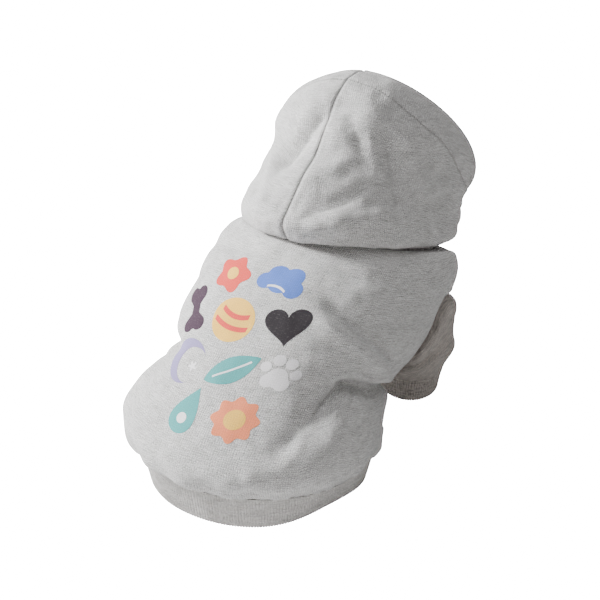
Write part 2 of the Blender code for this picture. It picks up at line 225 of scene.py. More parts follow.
def giveWall(piece, wall, inside=None):
    solid = piece.modifiers.new("wall", "SOLIDIFY")
    solid.thickness = wall
    solid.offset = -1.0
    solid.use_rim = True
    if inside:
        piece.data.materials.append(inside)
        solid.material_offset = 1
    return baked(piece)


def smoothStep(value):
    value = np.clip(value, 0.0, 1.0)
    return value * value * (3.0 - 2.0 * value)


view = {
    "azimuth": 30.0, "elevation": 25.0, "distance": 0.702, "lens": 60.0,
    "target": (0.0, -0.0045, -0.036), "shiftX": 0.022, "shiftY": -0.0123,
}
turn, tilt = math.radians(view["azimuth"]), math.radians(view["elevation"])
back = Vector((math.sin(turn) * math.cos(tilt), -math.cos(turn) * math.cos(tilt), math.sin(tilt)))
camera = bpy.data.objects.new("camera", bpy.data.cameras.new("camera"))
camera.location = Vector(view["target"]) + back * view["distance"]
camera.rotation_mode = "QUATERNION"
camera.rotation_quaternion = (-back).to_track_quat("-Z", "Y")
camera.data.lens = view["lens"]
camera.data.shift_x, camera.data.shift_y = view["shiftX"], view["shiftY"]
camera.data.clip_start = 0.01
bpy.context.scene.collection.objects.link(camera)
bpy.context.scene.camera = camera

lamps = {
    # name: place, size, power, colour
    "window": ((-1.20, -0.50, 0.70), 0.34, 66.0, (1.0, 0.997, 0.99)),
    "top": ((-0.35, -0.30, 1.50), 0.7, 8.0, (1.0, 1.0, 1.0)),
    "fill": ((1.3, -0.9, 0.4), 1.6, 2.4, (1.0, 0.96, 0.92)),
    "front": ((0.2, 1.5, 0.8), 1.2, 7.0, (1.0, 1.0, 1.0)),
}
for name, (place, size, power, colour) in lamps.items():
    light = bpy.data.lights.new(name, "AREA")
    light.size, light.energy, light.color = size, power, colour
    lamp = bpy.data.objects.new(name, light)
    lamp.location = place
    lamp.rotation_mode = "QUATERNION"
    lamp.rotation_quaternion = Vector(place).to_track_quat("Z", "Y")
    bpy.context.scene.collection.objects.link(lamp)

surround = {"asLight": 0.20, "behind": 40.0}
world = bpy.data.worlds.new("studio")
bpy.context.scene.world = world
world.use_nodes = True
sky = world.node_tree.nodes["Background"]
sky.inputs[0].default_value = (1.0, 1.0, 1.0, 1.0)
rays = world.node_tree.nodes.new("ShaderNodeLightPath")
brightness = world.node_tree.nodes.new("ShaderNodeMapRange")   # pale behind, dim as a light
brightness.inputs["To Min"].default_value = surround["asLight"]
brightness.inputs["To Max"].default_value = surround["behind"]
world.node_tree.links.new(rays.outputs["Is Camera Ray"], brightness.inputs["Value"])
world.node_tree.links.new(brightness.outputs[0], sky.inputs[1])
print("camera and lights are set")


form = {
    "bodyLength": 0.285, "bodyHeight": 0.140, "chestWidth": 0.178, "neckWidth": 0.146,
    "hoodDepth": 0.103, "hoodHeight": 0.096, "hoodWidth": 0.149,
    "sideSeam": 122.0, "foldHeight": 0.006, "gatherHeight": 0.0009, "gatherCount": 17,
}
sectionNames = ("run", "backY", "backZ", "bellyY", "bellyZ", "half", "square", "bow", "egg")
neckRing = (0.0, 0.025, 0.026, 0.461, -0.231, 1.0, 2.1, 0.0, 0.10)
bodySections = (
    (0.08, -0.038, -0.026, 0.520, -0.300, 0.960, 2.1, 0.006, 0.12),
    (0.25, -0.142, -0.141, 0.512, -0.560, 0.990, 2.1, 0.006, -0.01),
    (0.42, -0.249, -0.321, 0.384, -0.760, 0.950, 2.1, 0.006, -0.06),
    (0.55, -0.328, -0.450, 0.285, -0.850, 0.865, 2.1, 0.000, -0.08),
    (0.66, -0.392, -0.553, 0.215, -0.895, 0.930, 2.2, 0.000, -0.10),
    (0.80, -0.467, -0.707, 0.155, -0.920, 0.990, 2.1, 0.000, -0.08),
    (0.90, -0.480, -0.820, 0.132, -0.945, 0.991, 2.1, 0.000, 0.04),
    (1.00, -0.452, -0.890, 0.116, -0.980, 0.915, 2.1, 0.000, 0.06),
)
hoodSections = (
    (0.06, -0.105, 0.000, 0.227, -0.019, 1.030, 2.2, 0.045, 0.18),
    (0.14, -0.175, 0.131, 0.332, 0.000, 1.010, 2.3, 0.085, 0.25),
    (0.30, 0.000, 0.319, 0.350, 0.038, 0.985, 2.3, 0.120, 0.28),
    (0.50, 0.262, 0.525, 0.315, 0.075, 0.975, 2.2, 0.135, 0.24),
    (0.72, 0.472, 0.825, 0.280, 0.094, 0.985, 2.2, 0.135, 0.18),
    (0.86, 0.717, 0.965, 0.245, 0.113, 1.000, 2.1, 0.120, 0.22),
    (1.00, 0.980, 0.985, 0.210, 0.113, 1.020, 2.0, 0.105, 0.26),
)


def sectionTable(rows, lengthY, lengthZ, half, fromNeck):
    # columns in metres, the neck ring first; the hood's rows count from the neck ring
    width = form["neckWidth"] / 2
    neck = np.array(neckRing) * (
        1, form["bodyLength"], form["bodyHeight"], form["bodyLength"], form["bodyHeight"],
        width, 1, form["bodyLength"], 1)
    body = np.array(rows) * (1, lengthY, lengthZ, lengthY, lengthZ, half, 1, lengthY, 1)
    if fromNeck:
        body[:, 1:5] += neck[1:5]
    table = np.vstack((neck, body))
    return {name: table[:, place] for place, name in enumerate(sectionNames)}


def readTable(table, run):
    # the table's columns at a run, smooth between its rows
    known = table["run"]
    index = np.clip(np.searchsorted(known, run, side="right") - 1, 0, len(known) - 2)
    span = known[index + 1] - known[index]
    share = (run - known[index]) / span
    result = {}
    for name, values in table.items():
        rise = np.diff(values) / np.diff(known)
        gap = np.diff(known)
        inner = (rise[:-1] * gap[1:] + rise[1:] * gap[:-1]) / (gap[:-1] + gap[1:])
        slopes = np.concatenate((rise[:1], inner, rise[-1:]))
        result[name] = (
            (2 * share ** 3 - 3 * share ** 2 + 1) * values[index]
            + (share ** 3 - 2 * share ** 2 + share) * span * slopes[index]
            + (3 * share ** 2 - 2 * share ** 3) * values[index + 1]
            + (share ** 3 - share ** 2) * span * slopes[index + 1])
    return result


def sectionPoint(table, angle, run):
    angle, run = np.broadcast_arrays(angle, run)
    row = readTable(table, run)
    sine, cosine = np.sin(np.radians(angle)), np.cos(np.radians(angle))
    across = np.sign(sine) * np.abs(sine) ** (2 / row["square"])
    along = -np.sign(cosine) * np.abs(cosine) ** (2 / row["square"])
    reachY = (row["bellyY"] - row["backY"]) / 2
    reachZ = (row["bellyZ"] - row["backZ"]) / 2
    bow = row["bow"] * sine ** 2 / np.hypot(reachY, reachZ)
    return np.stack((
        row["half"] * across * (1.0 + row["egg"] * along),
        (row["bellyY"] + row["backY"]) / 2 + reachY * along - reachZ * bow,
        (row["bellyZ"] + row["backZ"]) / 2 + reachZ * along + reachY * bow,
    ), axis=-1)


# how far a fold reaches past its ends, how steeply a crease falls and how round its line is
foldShape = {"past": 2.0, "fall": 1.6, "round": 0.03}


def foldOffset(folds, angle, run, radius, length):
    # each fold is a line between two places; sharp is 0 for a soft fold and 1 for a crease
    total = np.zeros(np.broadcast(angle, run).shape)
    for angle0, run0, angle1, run1, width, height, sharp in folds:
        across = np.radians((angle - angle0 + 180.0) % 360.0 - 180.0) * radius
        down = (run - run0) * length
        lineAcross = math.radians(angle1 - angle0) * radius
        lineDown = (run1 - run0) * length
        line = math.hypot(lineAcross, lineDown)
        along = (across * lineAcross + down * lineDown) / line
        aside = (across * lineDown - down * lineAcross) / line
        past = np.maximum(np.maximum(-along, along - line), 0.0)
        wide = width * form["chestWidth"]
        reach = (aside / wide) ** 2 + (past / (foldShape["past"] * wide)) ** 2
        steep = np.sqrt(reach + foldShape["round"]) - math.sqrt(foldShape["round"])
        crease = np.exp(-foldShape["fall"] * steep)
        total += height * form["foldHeight"] * ((1 - sharp) * np.exp(-reach) + sharp * crease)
    return total


def ripple(points, size, seed):
    # slow uneven swell of the cloth, a sum of waves in space
    total = np.zeros(points.shape[:-1])
    random = np.random.default_rng(seed)
    for step in range(9):
        way = random.normal(size=3)
        way /= np.linalg.norm(way)
        wave = 2 * math.pi / (size * random.uniform(0.6, 1.7))
        bend = 0.6 * np.sin(points @ random.normal(size=3) * wave * 0.5 + step)
        total += np.sin(points @ way * wave + bend + random.uniform(0, 6.28))
    return total / 3.0


def clothPoint(cloth, angle, run, proud=0.0):
    # the outer face with its folds and swell
    angle, run = np.broadcast_arrays(np.asarray(angle, float), np.asarray(run, float))
    table = cloth["sections"]
    low, high = np.maximum(run - 0.004, 0.0), np.minimum(run + 0.004, 1.0)
    roundIt = sectionPoint(table, angle + 0.5, run) - sectionPoint(table, angle - 0.5, run)
    alongIt = sectionPoint(table, angle, high) - sectionPoint(table, angle, low)
    normal = np.cross(alongIt, roundIt) * cloth["hand"]
    normal /= np.linalg.norm(normal, axis=-1, keepdims=True)
    point = sectionPoint(table, angle, run)
    fade = smoothStep(run / cloth["fadeStart"]) * smoothStep((1.0 - run) / cloth["fadeEnd"])
    offset = foldOffset(cloth["folds"], angle, run, cloth["radius"], cloth["length"])
    offset += cloth["swell"] * ripple(point, cloth["swellSize"], cloth["seed"])
    offset += cloth["crumple"] * ripple(point, cloth["crumpleSize"], cloth["seed"] + 50)
    offset = offset * fade + proud
    if "gathers" in cloth:
        wide, fine, ease = cloth["gathers"], cloth["fineGathers"], cloth["hemEase"]
        gathered = smoothStep((run - wide["start"]) / wide["rise"])
        gathered = gathered * smoothStep((1.0 - run) / wide["fade"])
        offset += form["gatherHeight"] * gathered * np.cos(np.radians(angle) * form["gatherCount"])
        near = smoothStep((run - fine["start"]) / fine["rise"])
        near = near * smoothStep((1.0 - run) / fine["fade"])
        wave = np.radians(angle) * fine["count"] + 2.2 * np.sin(np.radians(angle) * 7.0)
        offset += fine["height"] * near * np.sin(wave) * (0.7 + 0.3 * np.sin(wave * 0.31))
        turned = (angle - ease["angle"] + 180.0) % 360.0 - 180.0
        swelled = np.exp(-(turned / ease["spread"]) ** 2)
        offset = offset + ease["height"] * swelled * smoothStep((run - ease["start"]) / ease["rise"])
    return point + normal * offset[..., None]


def faceNormal(cloth, angle, run):
    low, high = np.maximum(run - 0.003, 0.0), np.minimum(run + 0.003, 1.0)
    roundIt = clothPoint(cloth, angle + 0.4, run) - clothPoint(cloth, angle - 0.4, run)
    alongIt = clothPoint(cloth, angle, high) - clothPoint(cloth, angle, low)
    normal = np.cross(alongIt, roundIt) * cloth["hand"]
    return normal / np.linalg.norm(normal, axis=-1, keepdims=True)


def columnRuns(cloth, angles, distances):
    # runs at these distances down each column; distances has a row for each row of the grid
    samples = np.linspace(0.0, 1.0, 241)
    path = sectionPoint(cloth["sections"], angles[None, :], samples[:, None])
    steps = np.linalg.norm(np.diff(path, axis=0), axis=-1)
    lengths = np.vstack((np.zeros((1, len(angles))), np.cumsum(steps, axis=0)))
    if callable(distances):
        distances = distances(lengths[-1])
    runs = np.empty(distances.shape)
    for column in range(len(angles)):
        runs[:, column] = np.interp(distances[:, column], lengths[:, column], samples)
    return runs, distances, lengths[-1]


def seamSpread(length, near, count):
    # distances from one seam to the other, closer together beside each
    near = np.asarray(near)
    inner = np.linspace(near[-1], length - near[-1], count + 1)
    return np.concatenate((near[:-1], inner, (length - near[:-1])[::-1]))


bodyCloth = {
    "sections": sectionTable(
        bodySections, form["bodyLength"], form["bodyHeight"], form["chestWidth"] / 2, False),
    "hand": 1, "radius": form["chestWidth"] / 2, "length": form["bodyLength"],
    "fadeStart": 0.06, "fadeEnd": 0.05, "swell": 0.0006, "swellSize": 0.045, "seed": 11,
    "crumple": 0.00016, "crumpleSize": 0.015,
    "gathers": {"start": 0.80, "rise": 0.12, "fade": 0.05},
    "fineGathers": {"start": 0.90, "rise": 0.06, "fade": 0.012, "count": 58.0, "height": 0.00035},
    "hemEase": {"angle": 70.0, "spread": 30.0, "height": 0.0012, "start": 0.88, "rise": 0.12},
    "folds": (
        # angle, run, angle, run, width, height, sharp
        (34.0, 0.27, 78.0, 0.43, 0.036, -0.75, 0.4),
        (31.0, 0.32, 80.0, 0.480, 0.034, 0.50, 0.2),
        (62.0, 0.512, 128.0, 0.606, 0.034, -1.55, 0.5),
        (56.0, 0.52, 38.0, 0.68, 0.070, -0.60, 0.2),
        (68.0, 0.60, 54.0, 0.80, 0.090, 0.40, 0.0),
        (-42.0, 0.50, -104.0, 0.52, 0.042, -1.30, 0.5),
        (-46.0, 0.58, -58.0, 0.76, 0.090, 0.30, 0.0),
        (-56.0, 0.30, -84.0, 0.44, 0.055, -0.40, 0.2),
        (-26.0, 0.10, -60.0, 0.16, 0.055, -0.30, 0.0),
        (34.0, 0.12, 70.0, 0.17, 0.055, -0.35, 0.0),
        (150.0, 0.50, 205.0, 0.54, 0.075, -0.50, 0.2),
        (10.0, 0.90, 60.0, 0.93, 0.055, -0.30, 0.0),
        # finer folds round the pinch at the waist and below the neck
        (54.0, 0.500, 84.0, 0.530, 0.016, -0.40, 0.8),
        (58.0, 0.475, 96.0, 0.530, 0.020, 0.35, 0.3),
        (54.0, 0.520, 47.0, 0.600, 0.018, -0.40, 0.7),
        (60.0, 0.545, 57.0, 0.600, 0.016, 0.25, 0.4),
        (66.0, 0.540, 63.0, 0.610, 0.015, -0.25, 0.7),
        (86.0, 0.040, 104.0, 0.060, 0.050, 0.55, 0.0),
        (102.0, 0.110, 114.0, 0.230, 0.050, 0.50, 0.0),
        (46.0, 0.600, 40.0, 0.740, 0.030, 0.14, 0.2),
        (-52.0, 0.520, -88.0, 0.480, 0.024, 0.18, 0.3),
        (-48.0, 0.560, -80.0, 0.590, 0.022, -0.16, 0.5),
        (36.0, 0.335, 62.0, 0.420, 0.024, 0.14, 0.2),
        (8.0, 0.070, 44.0, 0.085, 0.026, -0.10, 0.3),
        (-12.0, 0.075, -40.0, 0.100, 0.024, 0.10, 0.2),
        (20.0, 0.800, 30.0, 0.920, 0.030, -0.12, 0.2),
        (74.0, 0.780, 66.0, 0.930, 0.034, -0.16, 0.2),
        (-34.0, 0.800, -28.0, 0.940, 0.032, -0.14, 0.2),
        (112.0, 0.300, 150.0, 0.330, 0.040, -0.25, 0.2),
        (210.0, 0.300, 248.0, 0.330, 0.040, -0.25, 0.2),
        (160.0, 0.640, 200.0, 0.700, 0.045, 0.20, 0.0),
    ),
}
hoodCloth = {
    "sections": sectionTable(
        hoodSections, form["hoodDepth"], form["hoodHeight"], form["hoodWidth"] / 2, True),
    "hand": -1, "radius": form["hoodWidth"] / 2, "length": 2 * form["hoodDepth"],
    "fadeStart": 0.06, "fadeEnd": 0.06, "swell": 0.0007, "swellSize": 0.036, "seed": 5,
    "crumple": 0.00022, "crumpleSize": 0.014,
    "folds": (
        (-4.0, 0.66, -19.0, 0.46, 0.056, -1.05, 0.5),
        (-30.0, 0.34, -50.0, 0.60, 0.070, 0.40, 0.0),
        (15.0, 0.68, 29.0, 0.55, 0.050, -0.45, 0.3),
        (12.0, 0.80, 30.0, 0.72, 0.050, 0.30, 0.0),
        (8.0, 0.42, 24.0, 0.50, 0.060, 0.40, 0.0),
        (43.0, 0.62, 66.0, 0.28, 0.034, -0.85, 0.5),
        (54.0, 0.62, 78.0, 0.34, 0.040, 0.35, 0.0),
        (33.0, 0.58, 48.0, 0.36, 0.040, 0.28, 0.0),
        (36.0, 0.18, 58.0, 0.20, 0.055, 0.45, 0.0),
        (24.0, 0.27, 48.0, 0.36, 0.055, -0.35, 0.2),
        (84.0, 0.25, 94.0, 0.42, 0.045, -0.25, 0.2),
        (66.0, 0.09, 98.0, 0.10, 0.060, 0.50, 0.0),
        (96.0, 0.45, 112.0, 0.60, 0.060, 0.45, 0.0),
        (-74.0, 0.62, -86.0, 0.30, 0.050, -0.60, 0.3),
        (-95.0, 0.60, -104.0, 0.34, 0.055, 0.35, 0.0),
        # finer folds
        (34.0, 0.62, 44.0, 0.50, 0.020, -0.22, 0.6),
        (60.0, 0.50, 74.0, 0.30, 0.020, -0.20, 0.6),
        (12.0, 0.20, 34.0, 0.27, 0.022, -0.16, 0.4),
        (46.0, 0.11, 74.0, 0.13, 0.024, -0.16, 0.4),
        (-20.0, 0.30, -38.0, 0.24, 0.024, -0.18, 0.4),
        (-46.0, 0.44, -62.0, 0.34, 0.024, -0.16, 0.4),
        (100.0, 0.20, 118.0, 0.34, 0.030, -0.20, 0.4),
        (-112.0, 0.22, -126.0, 0.36, 0.030, -0.20, 0.4),
    ),
}


def clothFinish(name, look):
    # marl knit: streaks of darker fibre across the cloth, wales down it, and a soft fuzz; the knit's loop
    # relief and the seam grooves are also painted into the colour as painted shade
    finish = Finish(name, roughness=0.92, sheen=look["sheen"])
    place = finish.add("ShaderNodeUVMap", {"uv_map": "cloth"})
    parts = finish.tree.nodes.new("ShaderNodeSeparateXYZ")
    finish.tree.links.new(place.socket, parts.inputs[0])
    across, down = Value(finish, parts.outputs[0]), Value(finish, parts.outputs[1])

    def grain(perAcross, perDown, detail, shift=0.0):
        stretched = finish.add("ShaderNodeVectorMath", {"operation": "MULTIPLY_ADD"},
                               {0: place, 1: (perAcross, perDown, 1.0), 2: (shift, shift, shift)})
        return finish.add("ShaderNodeTexNoise", {"noise_dimensions": "3D"},
                          {"Vector": stretched, "Scale": 1.0, "Detail": detail, "Roughness": 0.6})

    streaks = grain(120.0, 900.0, 3.0)
    fibres = grain(720.0, 1150.0, 2.0, 7.0)
    flecks = grain(420.0, 1500.0, 1.0, 19.0)
    clouds = grain(90.0, 120.0, 2.0, 3.0)
    light, middle, dark = look["light"], look["middle"], look["dark"]
    if look.get("ink"):
        colour = finish.add("ShaderNodeAttribute", {"attribute_name": "inkColour"})
    else:
        colour = finish.add("ShaderNodeValToRGB", {"stops": (
            (0.26, dark), (0.44, middle), (0.60, light), (0.80, light))}, {"Fac": streaks})
    fleck = ((flecks - 0.60) * 9.0).calc("MAXIMUM", 0.0).calc("MINIMUM", 1.0) * look["fleck"]
    colour = finish.mix(fleck, colour, dark)
    # wales are rounded ridges with the courses' small V shapes on them, and wander a little
    wander = (grain(240.0, 240.0, 2.0, 43.0) - 0.5) * look["wander"]
    wale = (across * (1.0 / look["wale"]) + wander).calc("FRACT")
    ridge = 1.0 - ((wale - 0.5) * 2.0).calc("ABSOLUTE") ** 2.0
    slanted = down * (1.0 / look["course"]) + wander * 1.6 + (wale - 0.5).calc("ABSOLUTE") * 1.1
    course = (slanted * 6.2832).calc("SINE") * 0.5 + 0.5
    # painted shade: the colour is lighter on the loop tops and darker in the gaps between loops, where
    # shade falls on the knit's relief
    loops = ridge * course
    shade = (fibres - 0.5) * look["fibre"] + (clouds - 0.5) * look["cloud"] + 1.0
    shade = shade + (loops - 0.30) * look["loopPaintedShade"]
    # painted shade: the colour is darkened along seams and the hem's stitch groove, where shade falls in
    # the sunk lines
    shade = shade * (1.0 - finish.add("ShaderNodeAttribute", {"attribute_name": "seamShade"}, None, 2))
    tint = finish.add("ShaderNodeCombineColor", {}, {0: shade, 1: shade, 2: shade})
    colour = finish.mix(1.0, colour, tint, "MULTIPLY")
    finish.join("Base Color", colour)

    fuzz = grain(2600.0, 2600.0, 2.0, 31.0)
    height = ridge * look["ridge"] + course * look["loop"] + fuzz * look["fuzz"] + streaks * 0.15
    bump = finish.add("ShaderNodeBump", {}, {
        "Strength": look["bump"], "Distance": 0.0004, "Height": height})
    finish.join("Normal", bump)
    return finish.material


# each look's loop shade number sets how strongly the knit's loop relief is painted into the colour as
# shade
marl = {
    "light": (0.640, 0.636, 0.630), "middle": (0.560, 0.555, 0.548), "dark": (0.400, 0.394, 0.386),
    "sheen": 0.10, "fleck": 0.35, "fibre": 1.25, "cloud": 0.50, "loopPaintedShade": 0.70, "wander": 1.5,
    "wale": 0.00155, "course": 0.00140, "ridge": 0.50, "loop": 0.50, "fuzz": 0.50, "bump": 1.0,
}
sleeveMarl = dict(
    marl, light=(0.500, 0.460, 0.428), middle=(0.400, 0.366, 0.340), dark=(0.240, 0.216, 0.198),
    fleck=0.5, fibre=0.7, loopPaintedShade=0.45)
ribMarl = dict(
    marl, light=(0.620, 0.606, 0.590), middle=(0.530, 0.516, 0.500), dark=(0.380, 0.366, 0.350),
    wale=0.0021, ridge=0.10, loop=0.55, course=0.0012, loopPaintedShade=0.35, fibre=0.7)
cuffMarl = dict(
    ribMarl, light=(0.480, 0.446, 0.418), middle=(0.380, 0.350, 0.326), dark=(0.230, 0.208, 0.190))
fleece = dict(
    marl, light=(0.640, 0.630, 0.615), middle=(0.560, 0.550, 0.535), dark=(0.420, 0.408, 0.395),
    sheen=0.25, fleck=0.2, fibre=0.45, cloud=0.25, ridge=0.0, loop=0.0, fuzz=1.4, bump=0.9,
    loopPaintedShade=0.0)
jersey = clothFinish("greyMarlJersey", marl)
sleeveJersey = clothFinish("darkMarlJersey", sleeveMarl)
rib = clothFinish("greyMarlRib", ribMarl)
cuffRib = clothFinish("darkMarlRib", cuffMarl)
fleeceInside = clothFinish("brushedFleece", fleece)

threadFinish = Finish("greyThread", roughness=0.7, sheen=0.1)
place = threadFinish.add("ShaderNodeTexCoord", output=3)
twist = threadFinish.add("ShaderNodeTexNoise", {}, {"Vector": place, "Scale": 2400.0, "Detail": 1.0})
threadFinish.join("Base Color", threadFinish.mix(twist, (0.36, 0.35, 0.34), (0.62, 0.61, 0.59)))
print("cloth finishes are made")


armhole = {
    "start": (0.56, 0.290, -0.400), "aim": (0.52, 0.06, -0.85), "radius": 0.030,
    "sleeveAim": (-0.10, 0.16, -1.0), "shift": (-0.006, 0.004),
}
bodyPanels = {
    "wall": 0.0016, "spacing": 0.00130, "bellySpacing": 0.0017, "seamGap": 0.00010,
    "near": (0.0, 0.0005, 0.0011, 0.0019, 0.0029), "dip": 0.0009, "dipWidth": 0.0017,
    "lapHeight": 0.0005, "lapPlace": 0.0035, "lapWidth": 0.002,
}


def armholeFrame(side):
    start = np.array(armhole["start"]) * (
        form["chestWidth"] / 2 * side, form["bodyLength"], form["bodyHeight"])
    aim = np.array(armhole["aim"]) * (side, 1, 1)
    aim /= np.linalg.norm(aim)
    ahead = np.array((0.0, 1.0, 0.0)) - aim * aim[1]
    ahead /= np.linalg.norm(ahead)
    return start, aim, ahead, np.cross(aim, ahead) * side


def fromAxis(points, side):
    # distance from an armhole's line, large behind its start
    start, aim, ahead, outward = armholeFrame(side)
    fromStart = points - start
    along = fromStart @ aim
    away = np.linalg.norm(fromStart - along[..., None] * aim, axis=-1)
    return np.where(along > 0, away, 1.0)


def seamDip(distance, dip, width):
    return -dip * np.exp(-(distance / width) ** 2)


# painted shade: how dark a line painted into the cloth's colour along a seam or the hem's stitch groove
# is, standing for the shade that falls in the sunk line
def seamShade(distance, depth=0.60, width=0.0008):
    return depth * np.exp(-(distance / width) ** 2)


def cornersOf(cells):
    # the grid places that touch any of these cells
    rows, columns = cells.shape
    touched = np.zeros((rows + 1, columns + 1), bool)
    for rowShift in (0, 1):
        for columnShift in (0, 1):
            touched[rowShift:rows + rowShift, columnShift:columns + columnShift] |= cells
    return touched


def bodyPanel(name, first, last, spacing):
    sizes = bodyPanels
    gap = math.degrees(sizes["seamGap"] / form["chestWidth"])
    radius = form["chestWidth"] / 2
    wide = math.radians(last - first - 2 * gap) * radius
    across = seamSpread(wide, sizes["near"], int(wide / spacing))
    angles = first + gap + np.degrees(across / radius)

    def rows(lengths):
        count = int(lengths.max() / spacing)
        return np.stack([seamSpread(length, sizes["near"], count) for length in lengths], axis=1)

    runs, distances, lengths = columnRuns(bodyCloth, angles, rows)
    turns = np.broadcast_to(angles, runs.shape).copy()
    # grid places near each armhole slide onto its edge
    holes = []
    for side in (1, -1):
        away = fromAxis(clothPoint(bodyCloth, turns, runs), side)
        if away.min() < armhole["radius"]:
            holes.append((side, away))
    keep = np.ones((runs.shape[0] - 1, runs.shape[1] - 1), bool)
    edge = np.full(runs.shape, 1.0)
    for side, away in holes:
        inside = away < armhole["radius"]
        corners = inside[:-1, :-1].astype(int) + inside[1:, :-1] + inside[:-1, 1:] + inside[1:, 1:]
        cut = corners >= 2
        rim = cornersOf(cut) & cornersOf(~cut)
        middle = np.unravel_index(np.argmin(away), away.shape)
        turn0, run0 = turns[middle], runs[middle]
        turn1, run1 = turns[rim], runs[rim]
        low, high = np.full(turn1.shape, 0.6), np.full(turn1.shape, 1.4)
        for step in range(16):
            half = (low + high) / 2
            point = clothPoint(bodyCloth, turn0 + (turn1 - turn0) * half, run0 + (run1 - run0) * half)
            within = fromAxis(point, side) < armhole["radius"]
            low, high = np.where(within, half, low), np.where(within, high, half)
        turns[rim] = turn0 + (turn1 - turn0) * low
        runs[rim] = run0 + (run1 - run0) * low
        keep &= ~cut
        edge = np.minimum(edge, np.maximum(away - armhole["radius"], 0.0))
        edge[rim] = 0.0
    toSeam = np.minimum(across, wide - across)[None, :]
    toEnds = np.minimum(distances, lengths[None, :] - distances)
    proud = seamDip(toEnds, sizes["dip"], sizes["dipWidth"])
    proud += seamDip(toSeam, sizes["dip"] * 0.7, sizes["dipWidth"])
    proud += seamDip(edge, sizes["dip"], sizes["dipWidth"])
    lap = (edge - sizes["lapPlace"]) / sizes["lapWidth"]
    proud += sizes["lapHeight"] * np.exp(-lap ** 2)
    # painted shade along the panel's seams, its ends and the armhole edge, kept as a point attribute for
    # the cloth's colour
    toEdge = np.minimum(np.minimum(toSeam, toEnds), edge)
    points = clothPoint(bodyCloth, turns, runs, proud)
    piece = sheetObject(name, points, arcUvs(points), False, {"seamShade": seamShade(toEdge)})
    if holes:
        gone = np.nonzero(~keep.reshape(-1))[0]
        cutting = bmesh.new()
        cutting.from_mesh(piece.data)
        cutting.faces.ensure_lookup_table()
        bmesh.ops.delete(cutting, geom=[cutting.faces[int(index)] for index in gone], context="FACES")
        cutting.to_mesh(piece.data)
        cutting.free()
    piece.data.materials.append(jersey)
    return giveWall(piece, sizes["wall"], fleeceInside)


seam = form["sideSeam"]
backCloth = bodyPanel("backCloth", -seam, seam, bodyPanels["spacing"])
bellyCloth = bodyPanel("bellyCloth", seam, 360.0 - seam, bodyPanels["bellySpacing"])
print("body panels are laid")


ink = {
    "coral": (0.74, 0.085, 0.070), "blue": (0.105, 0.195, 0.600), "charcoal": (0.034, 0.030, 0.034),
    "plum": (0.056, 0.034, 0.052), "yellow": (0.90, 0.54, 0.11), "white": (0.88, 0.86, 0.88),
    "lavender": (0.290, 0.255, 0.460), "teal": (0.095, 0.370, 0.370), "peach": (0.88, 0.26, 0.13),
}
printed = {
    "start": 0.150, "proud": 0.00014, "layer": 0.00006, "film": 0.00012, "grid": 0.0016,
    "edgeStep": 0.0008, "edgeClear": 0.0006, "sharpEdge": 50.0,
    "motifScale": 1.24, "spreadScale": 1.10, "shift": (0.0025, -0.0015),
}


def disc(x, y, radius, count=40):
    turns = np.arange(count) * 2 * math.pi / count
    return np.stack((x + radius * np.cos(turns), y + radius * np.sin(turns)), axis=1)


def petals(radius, count, depth, points=90):
    turns = np.arange(points) * 2 * math.pi / points
    reach = radius * (1 - depth + depth * np.cos(count * turns))
    return np.stack((reach * np.cos(turns), reach * np.sin(turns)), axis=1)


def blobs(circles, points=110):
    # outline of several circles that overlap, seen from the middle
    outline = []
    for turn in np.arange(points) * 2 * math.pi / points:
        way = np.array((math.cos(turn), math.sin(turn)))
        reach = 0.0
        for x, y, radius in circles:
            along = way @ (x, y)
            aside = x * x + y * y - along * along
            if aside < radius * radius and along > -radius:
                reach = max(reach, along + math.sqrt(radius * radius - aside))
        outline.append(way * reach)
    return np.array(outline)


def heartShape(size):
    turns = np.linspace(0, 2 * math.pi, 70, endpoint=False)
    x = 16 * np.sin(turns) ** 3
    y = 13 * np.cos(turns) - 5 * np.cos(2 * turns) - 2 * np.cos(3 * turns) - np.cos(4 * turns)
    return np.stack((x, -y - 2.0), axis=1) * size / 17


def leafShape(length, width):
    share = np.linspace(0, 1, 34)
    half = width * np.sin(math.pi * share) ** 0.8 * (1.15 - 0.3 * share)
    upper = np.stack(((share - 0.5) * length, half), axis=1)
    lower = np.stack(((share - 0.5) * length, -half), axis=1)[1:-1][::-1]
    return np.concatenate((upper, lower))


def dropShape(size):
    turns = np.linspace(0, 2 * math.pi, 64, endpoint=False)
    return np.stack((0.82 * size * np.sin(turns) * np.sin(turns / 2) ** 1.4,
                     -size * np.cos(turns)), axis=1)


def moonShape(size):
    outer = np.linspace(0.72, 2 * math.pi - 0.72, 48)
    inner = np.linspace(2 * math.pi - 1.08, 1.08, 34)
    cut = 0.80 * size
    shift = size * math.cos(0.72) - cut * math.cos(1.08)
    return np.concatenate((
        np.stack((size * np.cos(outer), size * np.sin(outer)), axis=1),
        np.stack((shift + cut * np.cos(inner), cut * np.sin(inner)), axis=1)[1:-1]))


def bar(width, height, bend=0.0, count=16):
    share = np.linspace(-1, 1, count)
    arch = bend * (1 - share ** 2)
    upper = np.stack((share * width, arch + height), axis=1)
    lower = np.stack((share * width, arch - height), axis=1)[::-1]
    return np.concatenate((upper, lower))


